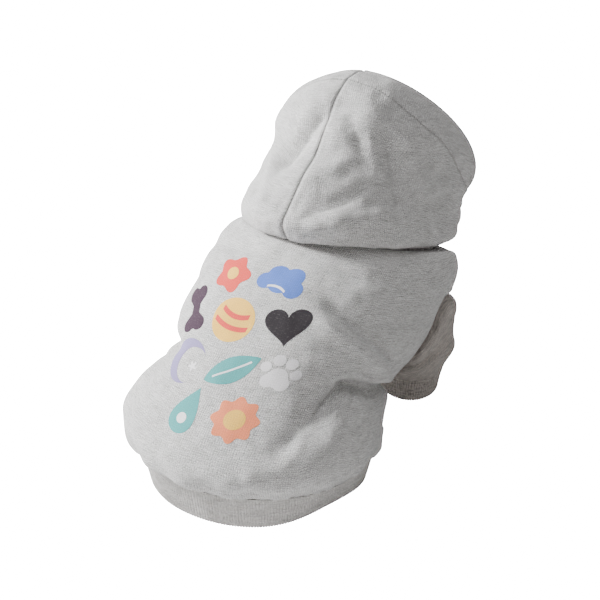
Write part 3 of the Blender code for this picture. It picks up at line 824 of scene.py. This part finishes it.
boneEnds = [(side * 9.2, up * 3.9, 4.6) for side in (1, -1) for up in (1, -1)]
boneShaft = [(x, 0.0, 3.5) for x in np.linspace(-9.0, 9.0, 13)]
cloudParts = [(0, 0, 7.5), (-8.5, 2.6, 5.2), (8.8, 2.4, 5.4), (-4.2, -3.8, 6.0), (4.4, -4.6, 6.4)]
pawPad = [(0, 3.0, 5.6), (-3.8, 5.6, 4.0), (3.8, 5.6, 4.0)]
motifs = (
    # place across and down from the top of the print, turn, then outlines with their colours, mm
    (-27.0, 13.0, -8.0, ((petals(12.5, 5, 0.13), "coral"), (disc(0, 0, 4.0), "yellow"))),
    (8.0, 10.0, 10.0, ((blobs(cloudParts), "blue"), (bar(5.6, 0.7, -1.6) + (0, 5.2), "white"))),
    (-45.0, 44.0, 62.0, ((blobs(boneEnds + boneShaft), "plum"),)),
    (-11.0, 42.0, 6.0, ((disc(0, 0, 13.0, 60), "yellow"), (bar(8.6, 1.5, 2.4) + (0, -4.6), "coral"),
                        (bar(10.6, 1.5, 2.4) + (0, 2.2), "coral"))),
    (24.0, 39.0, -12.0, ((heartShape(13.0), "charcoal"),)),
    (-31.0, 76.0, 14.0, ((moonShape(13.0), "lavender"), (petals(3.2, 5, 0.30, 40) + (6.2, 0), "white"))),
    (3.0, 72.0, -38.0, ((leafShape(32.0, 7.4), "teal"), (bar(11.0, 0.55), "white"))),
    (31.0, 68.0, 8.0, ((blobs(pawPad), "white"), (disc(-8.4, -1.2, 2.9, 26), "white"),
                       (disc(-3.4, -6.4, 3.2, 26), "white"), (disc(3.4, -6.4, 3.2, 26), "white"),
                       (disc(8.4, -1.2, 2.9, 26), "white"))),
    (-13.0, 103.0, 10.0, ((dropShape(13.5), "teal"), (disc(0, 5.2, 3.0, 26), "white"))),
    (18.0, 101.0, -6.0, ((petals(13.0, 8, 0.10), "peach"), (disc(0, 0, 5.6), "yellow"))),
)


def flatToCloth(flat):
    # print coordinates in metres to angle and run, by lengths along the cloth
    samples = np.linspace(0.0, 1.0, 161)
    turns = np.linspace(-75.0, 75.0, 151)
    grid = sectionPoint(bodyCloth["sections"], turns[None, :], samples[:, None])
    middle = len(turns) // 2
    down = np.concatenate(((0.0,), np.cumsum(np.linalg.norm(np.diff(grid[:, middle], axis=0), axis=-1))))
    across = np.linalg.norm(np.diff(grid, axis=1), axis=-1)
    across = np.concatenate((np.zeros((len(samples), 1)), np.cumsum(across, axis=1)), axis=1)
    across -= across[:, [middle]]
    begin = np.interp(printed["start"], samples, down)
    runs = np.interp(begin + flat[:, 1], down, samples)
    place = np.clip(runs * (len(samples) - 1), 0, len(samples) - 1.001)
    row, share = place.astype(int), place % 1.0
    angles = np.array([
        np.interp(x, across[r] * (1 - part) + across[r + 1] * part, turns)
        for x, r, part in zip(flat[:, 0], row, share)])
    return angles, runs


def inkPatches():
    flats, faces, colours, heights = [], [], [], []
    used = 0
    for x, y, turn, outlines in motifs:
        turn = math.radians(turn)
        spin = np.array(((math.cos(turn), math.sin(turn)), (-math.sin(turn), math.cos(turn))))
        for layer, (outline, colour) in enumerate(outlines):
            outline = outline @ spin * printed["motifScale"] + np.array((x, y)) * printed["spreadScale"]
            outline = outline / 1000 + np.array(printed["shift"])
            closed = np.concatenate((outline, outline[:1]))
            steps = np.linalg.norm(np.diff(closed, axis=0), axis=-1)
            walked = np.concatenate(((0.0,), np.cumsum(steps)))
            count = max(12, int(walked[-1] / printed["edgeStep"]))
            places = np.arange(count) / count
            edge = np.stack([np.interp(places * walked[-1], walked, closed[:, axis])
                             for axis in (0, 1)], axis=1)
            low, high = edge.min(axis=0), edge.max(axis=0)
            gridX, gridY = np.meshgrid(np.arange(low[0], high[0], printed["grid"]),
                                       np.arange(low[1], high[1], printed["grid"]))
            inner = np.stack((gridX.ravel(), gridY.ravel()), axis=1)
            clear = np.linalg.norm(inner[:, None] - edge[None], axis=-1).min(axis=1) > printed["edgeClear"]
            points = [Vector(point) for point in np.concatenate((edge, inner[clear]))]
            loop = [(index, (index + 1) % len(edge)) for index in range(len(edge))]
            verts, edges, triangles = delaunay_2d_cdt(points, loop, [], 1, 1e-7)[:3]
            flats.append(np.array([tuple(point) for point in verts]))
            faces += [[used + index for index in triangle][::-1] for triangle in triangles]
            colours += [ink[colour]] * len(verts)
            heights += [min(layer, 1)] * len(verts)
            used += len(verts)
    flat = np.concatenate(flats)
    angles, runs = flatToCloth(flat)
    proud = printed["proud"] + printed["layer"] * np.array(heights)
    points = clothPoint(bodyCloth, angles, runs, proud)
    outward = faceNormal(bodyCloth, angles, runs)
    first = np.array([face[:3] for face in faces])
    facing = np.cross(points[first[:, 1]] - points[first[:, 0]], points[first[:, 2]] - points[first[:, 0]])
    if (facing * outward[first[:, 0]]).sum() < 0:
        faces = [face[::-1] for face in faces]
    mesh = bpy.data.meshes.new("backPrint")
    mesh.from_pydata(points.tolist(), [], faces)
    tint = mesh.color_attributes.new("inkColour", "FLOAT_COLOR", "POINT")
    tint.data.foreach_set("color", np.array([(*colour, 1.0) for colour in colours]).ravel())
    layer = mesh.uv_layers.new(name="cloth")
    corners = np.array([loop.vertex_index for loop in mesh.loops])
    layer.data.foreach_set("uv", flat[corners].ravel())
    mesh.shade_smooth()
    piece = bpy.data.objects.new("backPrint", mesh)
    bpy.context.scene.collection.objects.link(piece)
    mesh.materials.append(inkFilm)
    giveWall(piece, printed["film"])
    piece.data.set_sharp_from_angle(angle=math.radians(printed["sharpEdge"]))
    return piece


inkFilm = clothFinish("printedInk", dict(
    marl, ink=True, sheen=0.0, fleck=0.12, fibre=0.22, cloud=0.10, ridge=0.30, loop=0.25,
    fuzz=0.25, bump=0.40, loopPaintedShade=0.22))
backPrint = inkPatches()
print("print is laid on the back")


hoodPanels = {
    "wall": 0.0014, "spacing": 0.00115, "seamGap": 0.00008, "near": (0.0, 0.0005, 0.0011, 0.0019, 0.0029),
    "dip": 0.0010, "dipWidth": 0.0012, "lapHeight": 0.00025, "lapWidth": 0.0024,
    "hemStep": 0.0006, "stitchSink": 0.0006, "hemPastStitch": 0.0012, "foldRadius": 0.0015,
    "hemRows": 23, "insideRows": 18, "insideStart": 0.0035,
    "nearStitch": (0.0050, 0.0036, 0.0024, 0.0016, 0.0010, 0.0005, 0.0,
                   -0.0005, -0.0010, -0.0017, -0.0027),
    "pucker": 0.00010, "puckerPitch": 0.0042, "puckerWidth": 0.004,
}
# the stitch line's distance from the brim at angles from the top of the hood to the throat
stitchAt = ((0.0, 0.0270), (20.0, 0.0295), (38.0, 0.0335), (60.0, 0.0375), (83.0, 0.0310),
            (103.0, 0.0200), (180.0, 0.0190))


def stitchDistance(angles):
    places, distances = zip(*stitchAt)
    return np.interp(np.abs(angles), places, distances)


def hoodHalf(name, first, last, side):
    sizes = hoodPanels
    radius = form["hoodWidth"] / 2
    gap = math.degrees(sizes["seamGap"] / form["hoodWidth"])
    wide = math.radians(last - first - 2 * gap) * radius
    across = seamSpread(wide, sizes["near"], int(wide / sizes["spacing"]))
    angles = (first + gap + np.degrees(across / radius))[::-1]
    across = across[::-1]
    stitchLine = stitchDistance(angles)
    hem = stitchLine + sizes["hemPastStitch"]
    nearStitch = np.array(sizes["nearStitch"])
    bend = np.linspace(0.0, math.pi, 9)[1:-1]
    insideCount = sizes["insideRows"]

    def rows(lengths):
        count = int((lengths.max() - hem.max()) / sizes["spacing"])
        columns = []
        for length, line in zip(lengths, stitchLine):
            hemRows = np.concatenate((
                line + nearStitch, np.linspace(line + nearStitch[-1], 0.0030, sizes["hemRows"])[1:],
                (0.0020, 0.0012, 0.0005, 0.0)))
            insideRows = np.concatenate((
                (0.0, 0.0008, 0.0020),
                np.linspace(sizes["insideStart"], line + sizes["hemPastStitch"], insideCount - 3)))
            flat = length - hemRows[0]
            start = np.concatenate((sizes["near"][:-1], np.linspace(sizes["near"][-1], flat, count)))
            columns.append(np.concatenate((
                start[:-1], length - hemRows, np.full(len(bend), length), length - insideRows)))
        return np.stack(columns, axis=1)

    runs, distances, lengths = columnRuns(hoodCloth, angles, rows)
    toBrim = lengths[None, :] - distances
    total = len(runs)
    depth = np.zeros((total, 1))
    reach = np.zeros((total, 1))
    fold = sizes["foldRadius"]
    firstBend = total - insideCount - len(bend)
    depth[firstBend:total - insideCount, 0] = fold * (1 - np.cos(bend))
    depth[total - insideCount:, 0] = 2 * fold
    reach[firstBend:total - insideCount, 0] = fold * np.sin(bend)
    outer = np.arange(total)[:, None] < firstBend
    toCentre = np.minimum(across, wide - across)[None, :]
    atBack = across if side > 0 else wide - across
    proud = seamDip(distances, sizes["dip"], sizes["dipWidth"])
    proud = proud + seamDip(toCentre, sizes["dip"] * 0.8, sizes["dipWidth"])
    if side > 0:
        lap = np.exp(-((atBack - 0.0026) / sizes["lapWidth"]) ** 2) * sizes["lapHeight"]
        proud = proud + lap[None, :]
    step = sizes["hemStep"] * smoothStep((hem + 0.0006 - toBrim) / 0.0012)
    groove = -sizes["stitchSink"] * np.exp(-((toBrim - stitchLine) / 0.0010) ** 2)
    puckerWave = np.sin(np.broadcast_to(across, runs.shape) / sizes["puckerPitch"] * 6.28)
    pucker = puckerWave * sizes["pucker"] * np.exp(-((toBrim - stitchLine) / sizes["puckerWidth"]) ** 2)
    proud = proud + np.where(outer, step + groove + pucker, sizes["hemStep"])
    proud = proud - depth
    points = clothPoint(hoodCloth, np.broadcast_to(angles, runs.shape), runs, proud)
    # the brim's rounded fold reaches a little past the last run
    ahead = clothPoint(hoodCloth, angles, 1.0) - clothPoint(hoodCloth, angles, 0.985)
    ahead /= np.linalg.norm(ahead, axis=-1, keepdims=True)
    points = points + ahead[None] * reach[..., None]
    # painted shade along the centre seam, the neck seam and the hem's stitch groove, kept as a point
    # attribute for the cloth's colour
    shade = seamShade(np.minimum(toCentre, distances))
    shade = np.maximum(shade, np.where(outer, seamShade(toBrim - stitchLine, 0.42, 0.0007), 0.0))
    piece = sheetObject(name, points, arcUvs(points), False, {"seamShade": shade})
    piece.data.materials.append(jersey)
    return giveWall(piece, sizes["wall"], fleeceInside)


hoodRight = hoodHalf("hoodRightCloth", 0.0, 180.0, 1)
hoodLeft = hoodHalf("hoodLeftCloth", -180.0, 0.0, -1)
print("hood is laid")


def stitchTree():
    # a row of stitches along a line that carries the cloth's outward direction
    tree = Tree("stitchRow", {
        "Pitch": "Float", "Length": "Float", "Width": "Float", "Height": "Float",
        "Wander": "Float", "Seed": "Int", "Finish": "Material"})
    line = tree.add("GeometryNodeMeshToCurve", {}, {"Mesh": tree.given("Geometry")})
    spaced = tree.add("GeometryNodeResampleCurve", {"mode": "LENGTH"},
                      {"Curve": line, "Length": tree.given("Pitch")})
    ball = tree.add("GeometryNodeMeshUVSphere", {}, {"Segments": 8, "Rings": 5, "Radius": 0.5})
    scale = tree.add("ShaderNodeCombineXYZ", {}, {
        place: tree.given(title) for place, title in enumerate(("Length", "Width", "Height"))})
    shaped = tree.add("GeometryNodeTransform", {}, {"Geometry": ball, "Scale": scale})
    upright = tree.add("FunctionNodeAlignRotationToVector", {"axis": "Z"},
                       {"Vector": tree.named("outward", "FLOAT_VECTOR")})
    along = tree.add("FunctionNodeAlignRotationToVector", {"axis": "X", "pivot_axis": "Z"},
                     {"Rotation": upright, "Vector": tree.add("GeometryNodeInputTangent")})
    chance = tree.add("FunctionNodeRandomValue", {"data_type": "FLOAT"},
                      {"Seed": tree.given("Seed")}, output=1)
    swing = tree.add("ShaderNodeMapRange", {}, {
        "Value": chance, "To Min": tree.given("Wander") * -1.0, "To Max": tree.given("Wander")})
    twist = tree.add("ShaderNodeCombineXYZ", {}, {"Z": swing})
    turned = tree.add("FunctionNodeRotateRotation", {"rotation_space": "LOCAL"}, {0: along, 1: twist})
    placed = tree.add("GeometryNodeInstanceOnPoints", {},
                      {"Points": spaced, "Instance": shaped, "Rotation": turned})
    real = tree.add("GeometryNodeRealizeInstances", {}, {0: placed})
    return tree.dressed(tree.add("GeometryNodeSetShadeSmooth", {}, {0: real}))


stitchRow = stitchTree()


def stitchLines(name, lines, look):
    # lines: arrays of points with the outward direction beside each
    mesh = bpy.data.meshes.new(name)
    points, edges, outward = [], [], []
    for line, away in lines:
        first = len(points)
        points += line.tolist()
        outward += away.tolist()
        edges += [(first + step, first + step + 1) for step in range(len(line) - 1)]
    mesh.from_pydata(points, edges, [])
    mesh.attributes.new("outward", "FLOAT_VECTOR", "POINT").data.foreach_set(
        "vector", np.array(outward).ravel())
    piece = bpy.data.objects.new(name, mesh)
    bpy.context.scene.collection.objects.link(piece)
    row = piece.modifiers.new("stitches", "NODES")
    row.node_group = stitchRow
    setInputs(row, {"Pitch": look["pitch"], "Length": look["length"], "Width": look["width"],
                    "Height": look["height"], "Wander": look["wander"], "Seed": look["seed"],
                    "Finish": threadFinish.material})
    return baked(piece)


def setInputs(modifier, values):
    sockets = {item.name: item.identifier for item in modifier.node_group.interface.items_tree
               if item.item_type == "SOCKET" and item.in_out == "INPUT"}
    for name, value in values.items():
        modifier[sockets[name]] = value


hemStitch = {
    "pitch": 0.0028, "length": 0.0021, "width": 0.00055, "height": 0.00042, "wander": 0.06, "seed": 4,
}


def brimLine(side, proud, first=2.0, last=178.0):
    angles = np.linspace(first, last, 220) * side
    away = stitchDistance(angles)
    runs = columnRuns(hoodCloth, angles, lambda lengths: (lengths - away)[None, :])[0][0]
    return clothPoint(hoodCloth, angles, runs, proud), faceNormal(hoodCloth, angles, runs)


sunk = hoodPanels["hemStep"] * 0.86 - hoodPanels["stitchSink"]
hemStitches = stitchLines("hoodHemStitches", [
    brimLine(side, sunk + 0.00012) for side in (1, -1)], hemStitch)
print("hem is stitched")


def ribTree():
    # pushes a tube's cloth in and out in even ribs, with a little unevenness
    tree = Tree("ribKnit", {"Rib Count": "Float", "Rib Depth": "Float", "Unevenness": "Float",
                            "Seed": "Float", "Finish": "Material"})
    noise = tree.add("ShaderNodeTexNoise", {"noise_dimensions": "4D"},
                     {"Scale": 90.0, "W": tree.given("Seed")})
    turn = tree.named("ribShare") * tree.given("Rib Count") * math.pi
    rounded = turn.calc("SINE").calc("ABSOLUTE") ** 0.8 - 1.0
    uneven = (noise - 0.5) * tree.given("Unevenness")
    height = (rounded * tree.given("Rib Depth") + uneven) * tree.named("ribFade")
    push = tree.add("ShaderNodeVectorMath", {"operation": "SCALE"},
                    {0: tree.add("GeometryNodeInputNormal"), "Scale": height})
    return tree.dressed(tree.add("GeometryNodeSetPosition", {},
                                 {"Geometry": tree.given("Geometry"), "Offset": push}))


ribKnit = ribTree()
ribSizes = {
    "pitch": 0.0021, "depth": 0.00062, "unevenness": 0.00022, "perRib": 6,
    "wall": 0.0011, "foldRadius": 0.00125,
}


def ribTube(name, tubeAt, height, finish, seed, length):
    # a tube of rib knit worn double: down the outside, round the fold and up the inside
    count = round(length / ribSizes["pitch"])
    columns = count * ribSizes["perRib"]
    angles = np.arange(columns) * 360.0 / columns
    fold = ribSizes["foldRadius"]
    down = np.concatenate(((0.0, 0.0004, 0.0010), np.linspace(0.0018, height - fold, 10)))
    bend = np.linspace(0.0, math.pi, 9)[1:-1]
    rows = [(distance, 0.0) for distance in down]
    rows += [(height - fold + fold * math.sin(step), fold * (1 - math.cos(step))) for step in bend]
    rows += [(distance, 2 * fold) for distance in down[::-1]]
    points = np.stack([tubeAt(angles, distance, depth) for distance, depth in rows])
    share = np.broadcast_to(angles / 360.0, (len(rows), columns))
    fade = np.array([0.25 + 0.75 * smoothStep(distance / 0.0022) for distance, depth in rows])
    fade = np.broadcast_to(fade[:, None], share.shape)
    piece = sheetObject(name, points, arcUvs(points, True), True,
                        {"ribShare": share, "ribFade": fade})
    knit = piece.modifiers.new("ribs", "NODES")
    knit.node_group = ribKnit
    setInputs(knit, {"Rib Count": float(count), "Rib Depth": ribSizes["depth"],
                     "Unevenness": ribSizes["unevenness"], "Seed": float(seed), "Finish": finish})
    baked(piece)
    return giveWall(piece, ribSizes["wall"])


band = {
    "height": 0.0265, "taper": 0.06, "gap": 0.0001, "dip": 0.0003,
    "shortAt": 76.0, "shortWide": 27.0, "shorter": 0.22, "drawnIn": 0.0035,
    "dipWidth": 0.0015,
}


def bandAt(angles, distance, depth):
    top = clothPoint(bodyCloth, angles, 1.0)
    middle = top.mean(axis=0)
    inward = (top - middle) * (1, 1, 0)
    inward /= np.linalg.norm(inward, axis=-1, keepdims=True)
    run = distance / band["height"]
    drawn = (top - middle) * (1, 1, 0) * band["taper"] * run
    sink = band["dip"] * math.exp(-(distance / band["dipWidth"]) ** 2)
    turned = (angles - band["shortAt"] + 180.0) % 360.0 - 180.0
    pulled = np.exp(-(turned / band["shortWide"]) ** 2)[:, None]
    point = top - drawn - inward * (depth + sink + band["drawnIn"] * run * pulled)
    point[:, 2] -= band["gap"] + distance * (1.0 - band["shorter"] * pulled[:, 0])
    return point


edge = clothPoint(bodyCloth, np.arange(0.0, 360.0, 2.0), 1.0)
around = np.linalg.norm(edge - np.roll(edge, 1, axis=0), axis=-1).sum()
waistband = ribTube("waistbandRib", bandAt, band["height"], rib, 3, around)
print("waistband is knitted")


sleeve = {
    "length": 0.040, "endRadius": 0.027, "wall": 0.0014, "columns": 176, "rows": 36,
    "cuffRadius": 0.0252, "cuffHeight": 0.0232, "cuffTaper": 0.06, "gap": 0.0001,
    "blouse": 0.0046, "shoulder": 0.0030, "swell": 0.0005, "swellSize": 0.020,
    "dip": 0.0010, "dipWidth": 0.0016, "cuffDip": 0.0008, "cuffDipWidth": 0.0014,
    "lapHeight": 0.0007, "lapPlace": 0.004, "lapWidth": 0.0022, "tuckDown": 0.0022, "tuckIn": 0.0008,
    "cuffSink": 0.0006, "cuffSinkWidth": 0.0015,
}
# folds round a sleeve: angle from the front over the outside, share down, then as on the body
sleeveFolds = (
    (70.0, 0.30, 150.0, 0.42, 0.030, -0.30, 0.3),
    (95.0, 0.62, 170.0, 0.55, 0.028, 0.22, 0.1),
    (120.0, 0.78, 190.0, 0.70, 0.026, -0.26, 0.3),
    (20.0, 0.40, 60.0, 0.60, 0.030, -0.22, 0.3),
    (200.0, 0.45, 320.0, 0.50, 0.040, -0.35, 0.3),
    (210.0, 0.70, 300.0, 0.74, 0.035, 0.20, 0.0),
)


def outerTree():
    angles = np.arange(0.0, 360.0, 1.5)
    runs = np.linspace(0.0, 1.0, 161)
    points = clothPoint(bodyCloth, angles[None, :], runs[:, None])
    index = np.arange(points.shape[0] * points.shape[1]).reshape(points.shape[:2])
    after = np.roll(index, -1, axis=1)
    quads = np.stack((index[:-1], index[1:], after[1:], after[:-1]), axis=-1).reshape(-1, 4)
    return BVHTree.FromPolygons(points.reshape(-1, 3).tolist(), quads.tolist())


bodyTree = outerTree()


def sleeveAndCuff(side, word):
    start, aim, ahead, outward = armholeFrame(side)
    sleeveAim = np.array(armhole["sleeveAim"]) * (side, 1, 1)
    sleeveAim /= np.linalg.norm(sleeveAim)
    turns = np.arange(sleeve["columns"]) * 2 * math.pi / sleeve["columns"]
    mouth = []
    for angle in turns:
        origin = start + (ahead * math.cos(angle) + outward * math.sin(angle)) * armhole["radius"]
        mouth.append(bodyTree.ray_cast(Vector(origin), Vector(aim))[0])
    mouth = np.array([tuple(hit) for hit in mouth])
    centre = mouth.mean(axis=0) + sleeveAim * sleeve["length"]
    centre += np.array((armhole["shift"][0] * side, armhole["shift"][1], 0.0))
    endAhead = np.array((0.0, 1.0, 0.0)) - sleeveAim * sleeveAim[1]
    endAhead /= np.linalg.norm(endAhead)
    endOutward = np.cross(sleeveAim, endAhead) * side
    cos, sin = np.cos(turns)[:, None], np.sin(turns)[:, None]
    ring = centre + (endAhead * cos + endOutward * sin) * sleeve["endRadius"]
    pull = np.linalg.norm(ring - mouth, axis=-1, keepdims=True)
    near = np.array((0.0, 0.012, 0.028, 0.05, 0.08))
    shares = np.concatenate((near[:-1], np.linspace(near[-1], 1 - near[-1], sleeve["rows"]),
                             1 - near[:-1][::-1]))[:, None, None]
    points = (mouth * (2 * shares ** 3 - 3 * shares ** 2 + 1)
              + aim * pull * (shares ** 3 - 2 * shares ** 2 + shares)
              + ring * (3 * shares ** 2 - 2 * shares ** 3)
              + sleeveAim * pull * (shares ** 3 - shares ** 2))
    middle = points.mean(axis=1, keepdims=True)
    out = points - middle
    out /= np.linalg.norm(out, axis=-1, keepdims=True)
    length = pull.mean()
    share = np.broadcast_to(shares[..., 0], points.shape[:2])
    angle = np.broadcast_to(np.degrees(turns), points.shape[:2])
    push = foldOffset(sleeveFolds, angle, share, sleeve["endRadius"], length)
    push += sleeve["swell"] * ripple(points, sleeve["swellSize"], 21 + side)
    toBack = np.cos(np.radians(angle - 105.0))
    push += sleeve["blouse"] * np.exp(-((share - 0.70) / 0.17) ** 2) * (0.62 + 0.38 * toBack)
    push += sleeve["shoulder"] * np.exp(-((share - 0.22) / 0.20) ** 2) * (0.5 + 0.5 * toBack)
    push *= smoothStep(share / 0.15) * smoothStep((1 - share) / 0.12)
    push += (seamDip(share * length, sleeve["dip"], sleeve["dipWidth"])
             + seamDip((1 - share) * length, sleeve["cuffDip"], sleeve["cuffDipWidth"]))
    lap = (share * length - sleeve["lapPlace"]) / sleeve["lapWidth"]
    push += sleeve["lapHeight"] * np.exp(-lap ** 2)
    points = points + out * push[..., None]
    # the seam allowance turns in through the armhole
    tuck = points[0] - aim * sleeve["tuckDown"] - out[0] * sleeve["tuckIn"]
    points = np.concatenate((tuck[None], points))
    points = points[:, ::-1] if side > 0 else points
    cloth = sheetObject("sleeve" + word + "Cloth", points, arcUvs(points, True), True)
    cloth.data.materials.append(sleeveJersey)
    giveWall(cloth, sleeve["wall"], fleeceInside)

    def cuffAt(angles, distance, depth):
        turn = -np.radians(angles)[:, None] * side
        run = distance / sleeve["cuffHeight"]
        sink = sleeve["cuffSink"] * math.exp(-(distance / sleeve["cuffSinkWidth"]) ** 2)
        wobble = 1.0 + 0.012 * np.sin(turn * 2 + 1.0) * run + 0.008 * np.sin(turn * 3) * run
        radius = (sleeve["endRadius"] - 0.0006) * (1 - run) ** 4
        radius += sleeve["cuffRadius"] * (1 - sleeve["cuffTaper"] * run) * (1 - (1 - run) ** 4)
        spread = endAhead * np.cos(turn) + endOutward * np.sin(turn)
        return (centre + spread * (radius * wobble - depth - sink)
                + sleeveAim * (sleeve["gap"] + distance))

    length = 2 * math.pi * sleeve["cuffRadius"]
    cuff = ribTube("cuff" + word + "Rib", cuffAt, sleeve["cuffHeight"], cuffRib, 7 + side, length)
    return cloth, cuff


sleeveRight, cuffRight = sleeveAndCuff(1, "Right")
sleeveLeft, cuffLeft = sleeveAndCuff(-1, "Left")
print("sleeves and cuffs are made")


ground = {"half": 4.0, "drop": 0.0015, "lift": 30.0, "tone": 0.85}
floorMesh = bpy.data.meshes.new("floor")
low, half = cadBox[0][2] - ground["drop"], ground["half"]
floorMesh.from_pydata([(-half, -half, low), (half, -half, low), (half, half, low), (-half, half, low)],
                      [], [(0, 1, 2, 3)])
floorFinish = Finish("paleFloor", roughness=0.95)
floorFinish.shader.inputs["Base Color"].default_value = (*[ground["tone"]] * 3, 1.0)
seen = floorFinish.add("ShaderNodeLightPath")    # the floor is lifted to white only where it shows
floorFinish.shader.inputs["Emission Color"].default_value = (1.0, 1.0, 1.0, 1.0)
floorFinish.tree.links.new((seen * ground["lift"]).socket, floorFinish.shader.inputs["Emission Strength"])
floorMesh.materials.append(floorFinish.material)
floor = bpy.data.objects.new("floor", floorMesh)
bpy.context.scene.collection.objects.link(floor)

dressed = {
    # piece: node it stands for, slot, flat width and length, flat area, how it is held
    backCloth: ("back_panel", "marl_jersey", (0.38, 0.22), 0.0635, "draped"),
    bellyCloth: ("belly_panel", "marl_jersey", (0.24, 0.20), 0.0257, "hung"),
    hoodRight: ("hood_right", "marl_jersey", (0.24, 0.17), 0.0260, "draped"),
    hoodLeft: ("hood_left", "marl_jersey", (0.24, 0.17), 0.0260, "draped"),
    sleeveRight: ("sleeve_right", "marl_jersey", (0.19, 0.05), 0.0071, "hung"),
    sleeveLeft: ("sleeve_left", "marl_jersey", (0.19, 0.05), 0.0071, "hung"),
    cuffRight: ("cuff_right", "marl_rib", (0.16, 0.046), 0.0073, "stretched"),
    cuffLeft: ("cuff_left", "marl_rib", (0.16, 0.046), 0.0073, "stretched"),
    waistband: ("waistband", "marl_rib", (0.51, 0.056), 0.0280, "stretched"),
}
for piece, slotName in ((backPrint, "print_ink"), (hemStitches, "thread")):
    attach(piece, "root")
for piece, (node, slotName, flat, area, held) in dressed.items():
    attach(piece, "root")
    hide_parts(node)

print("hoodie is dressed")
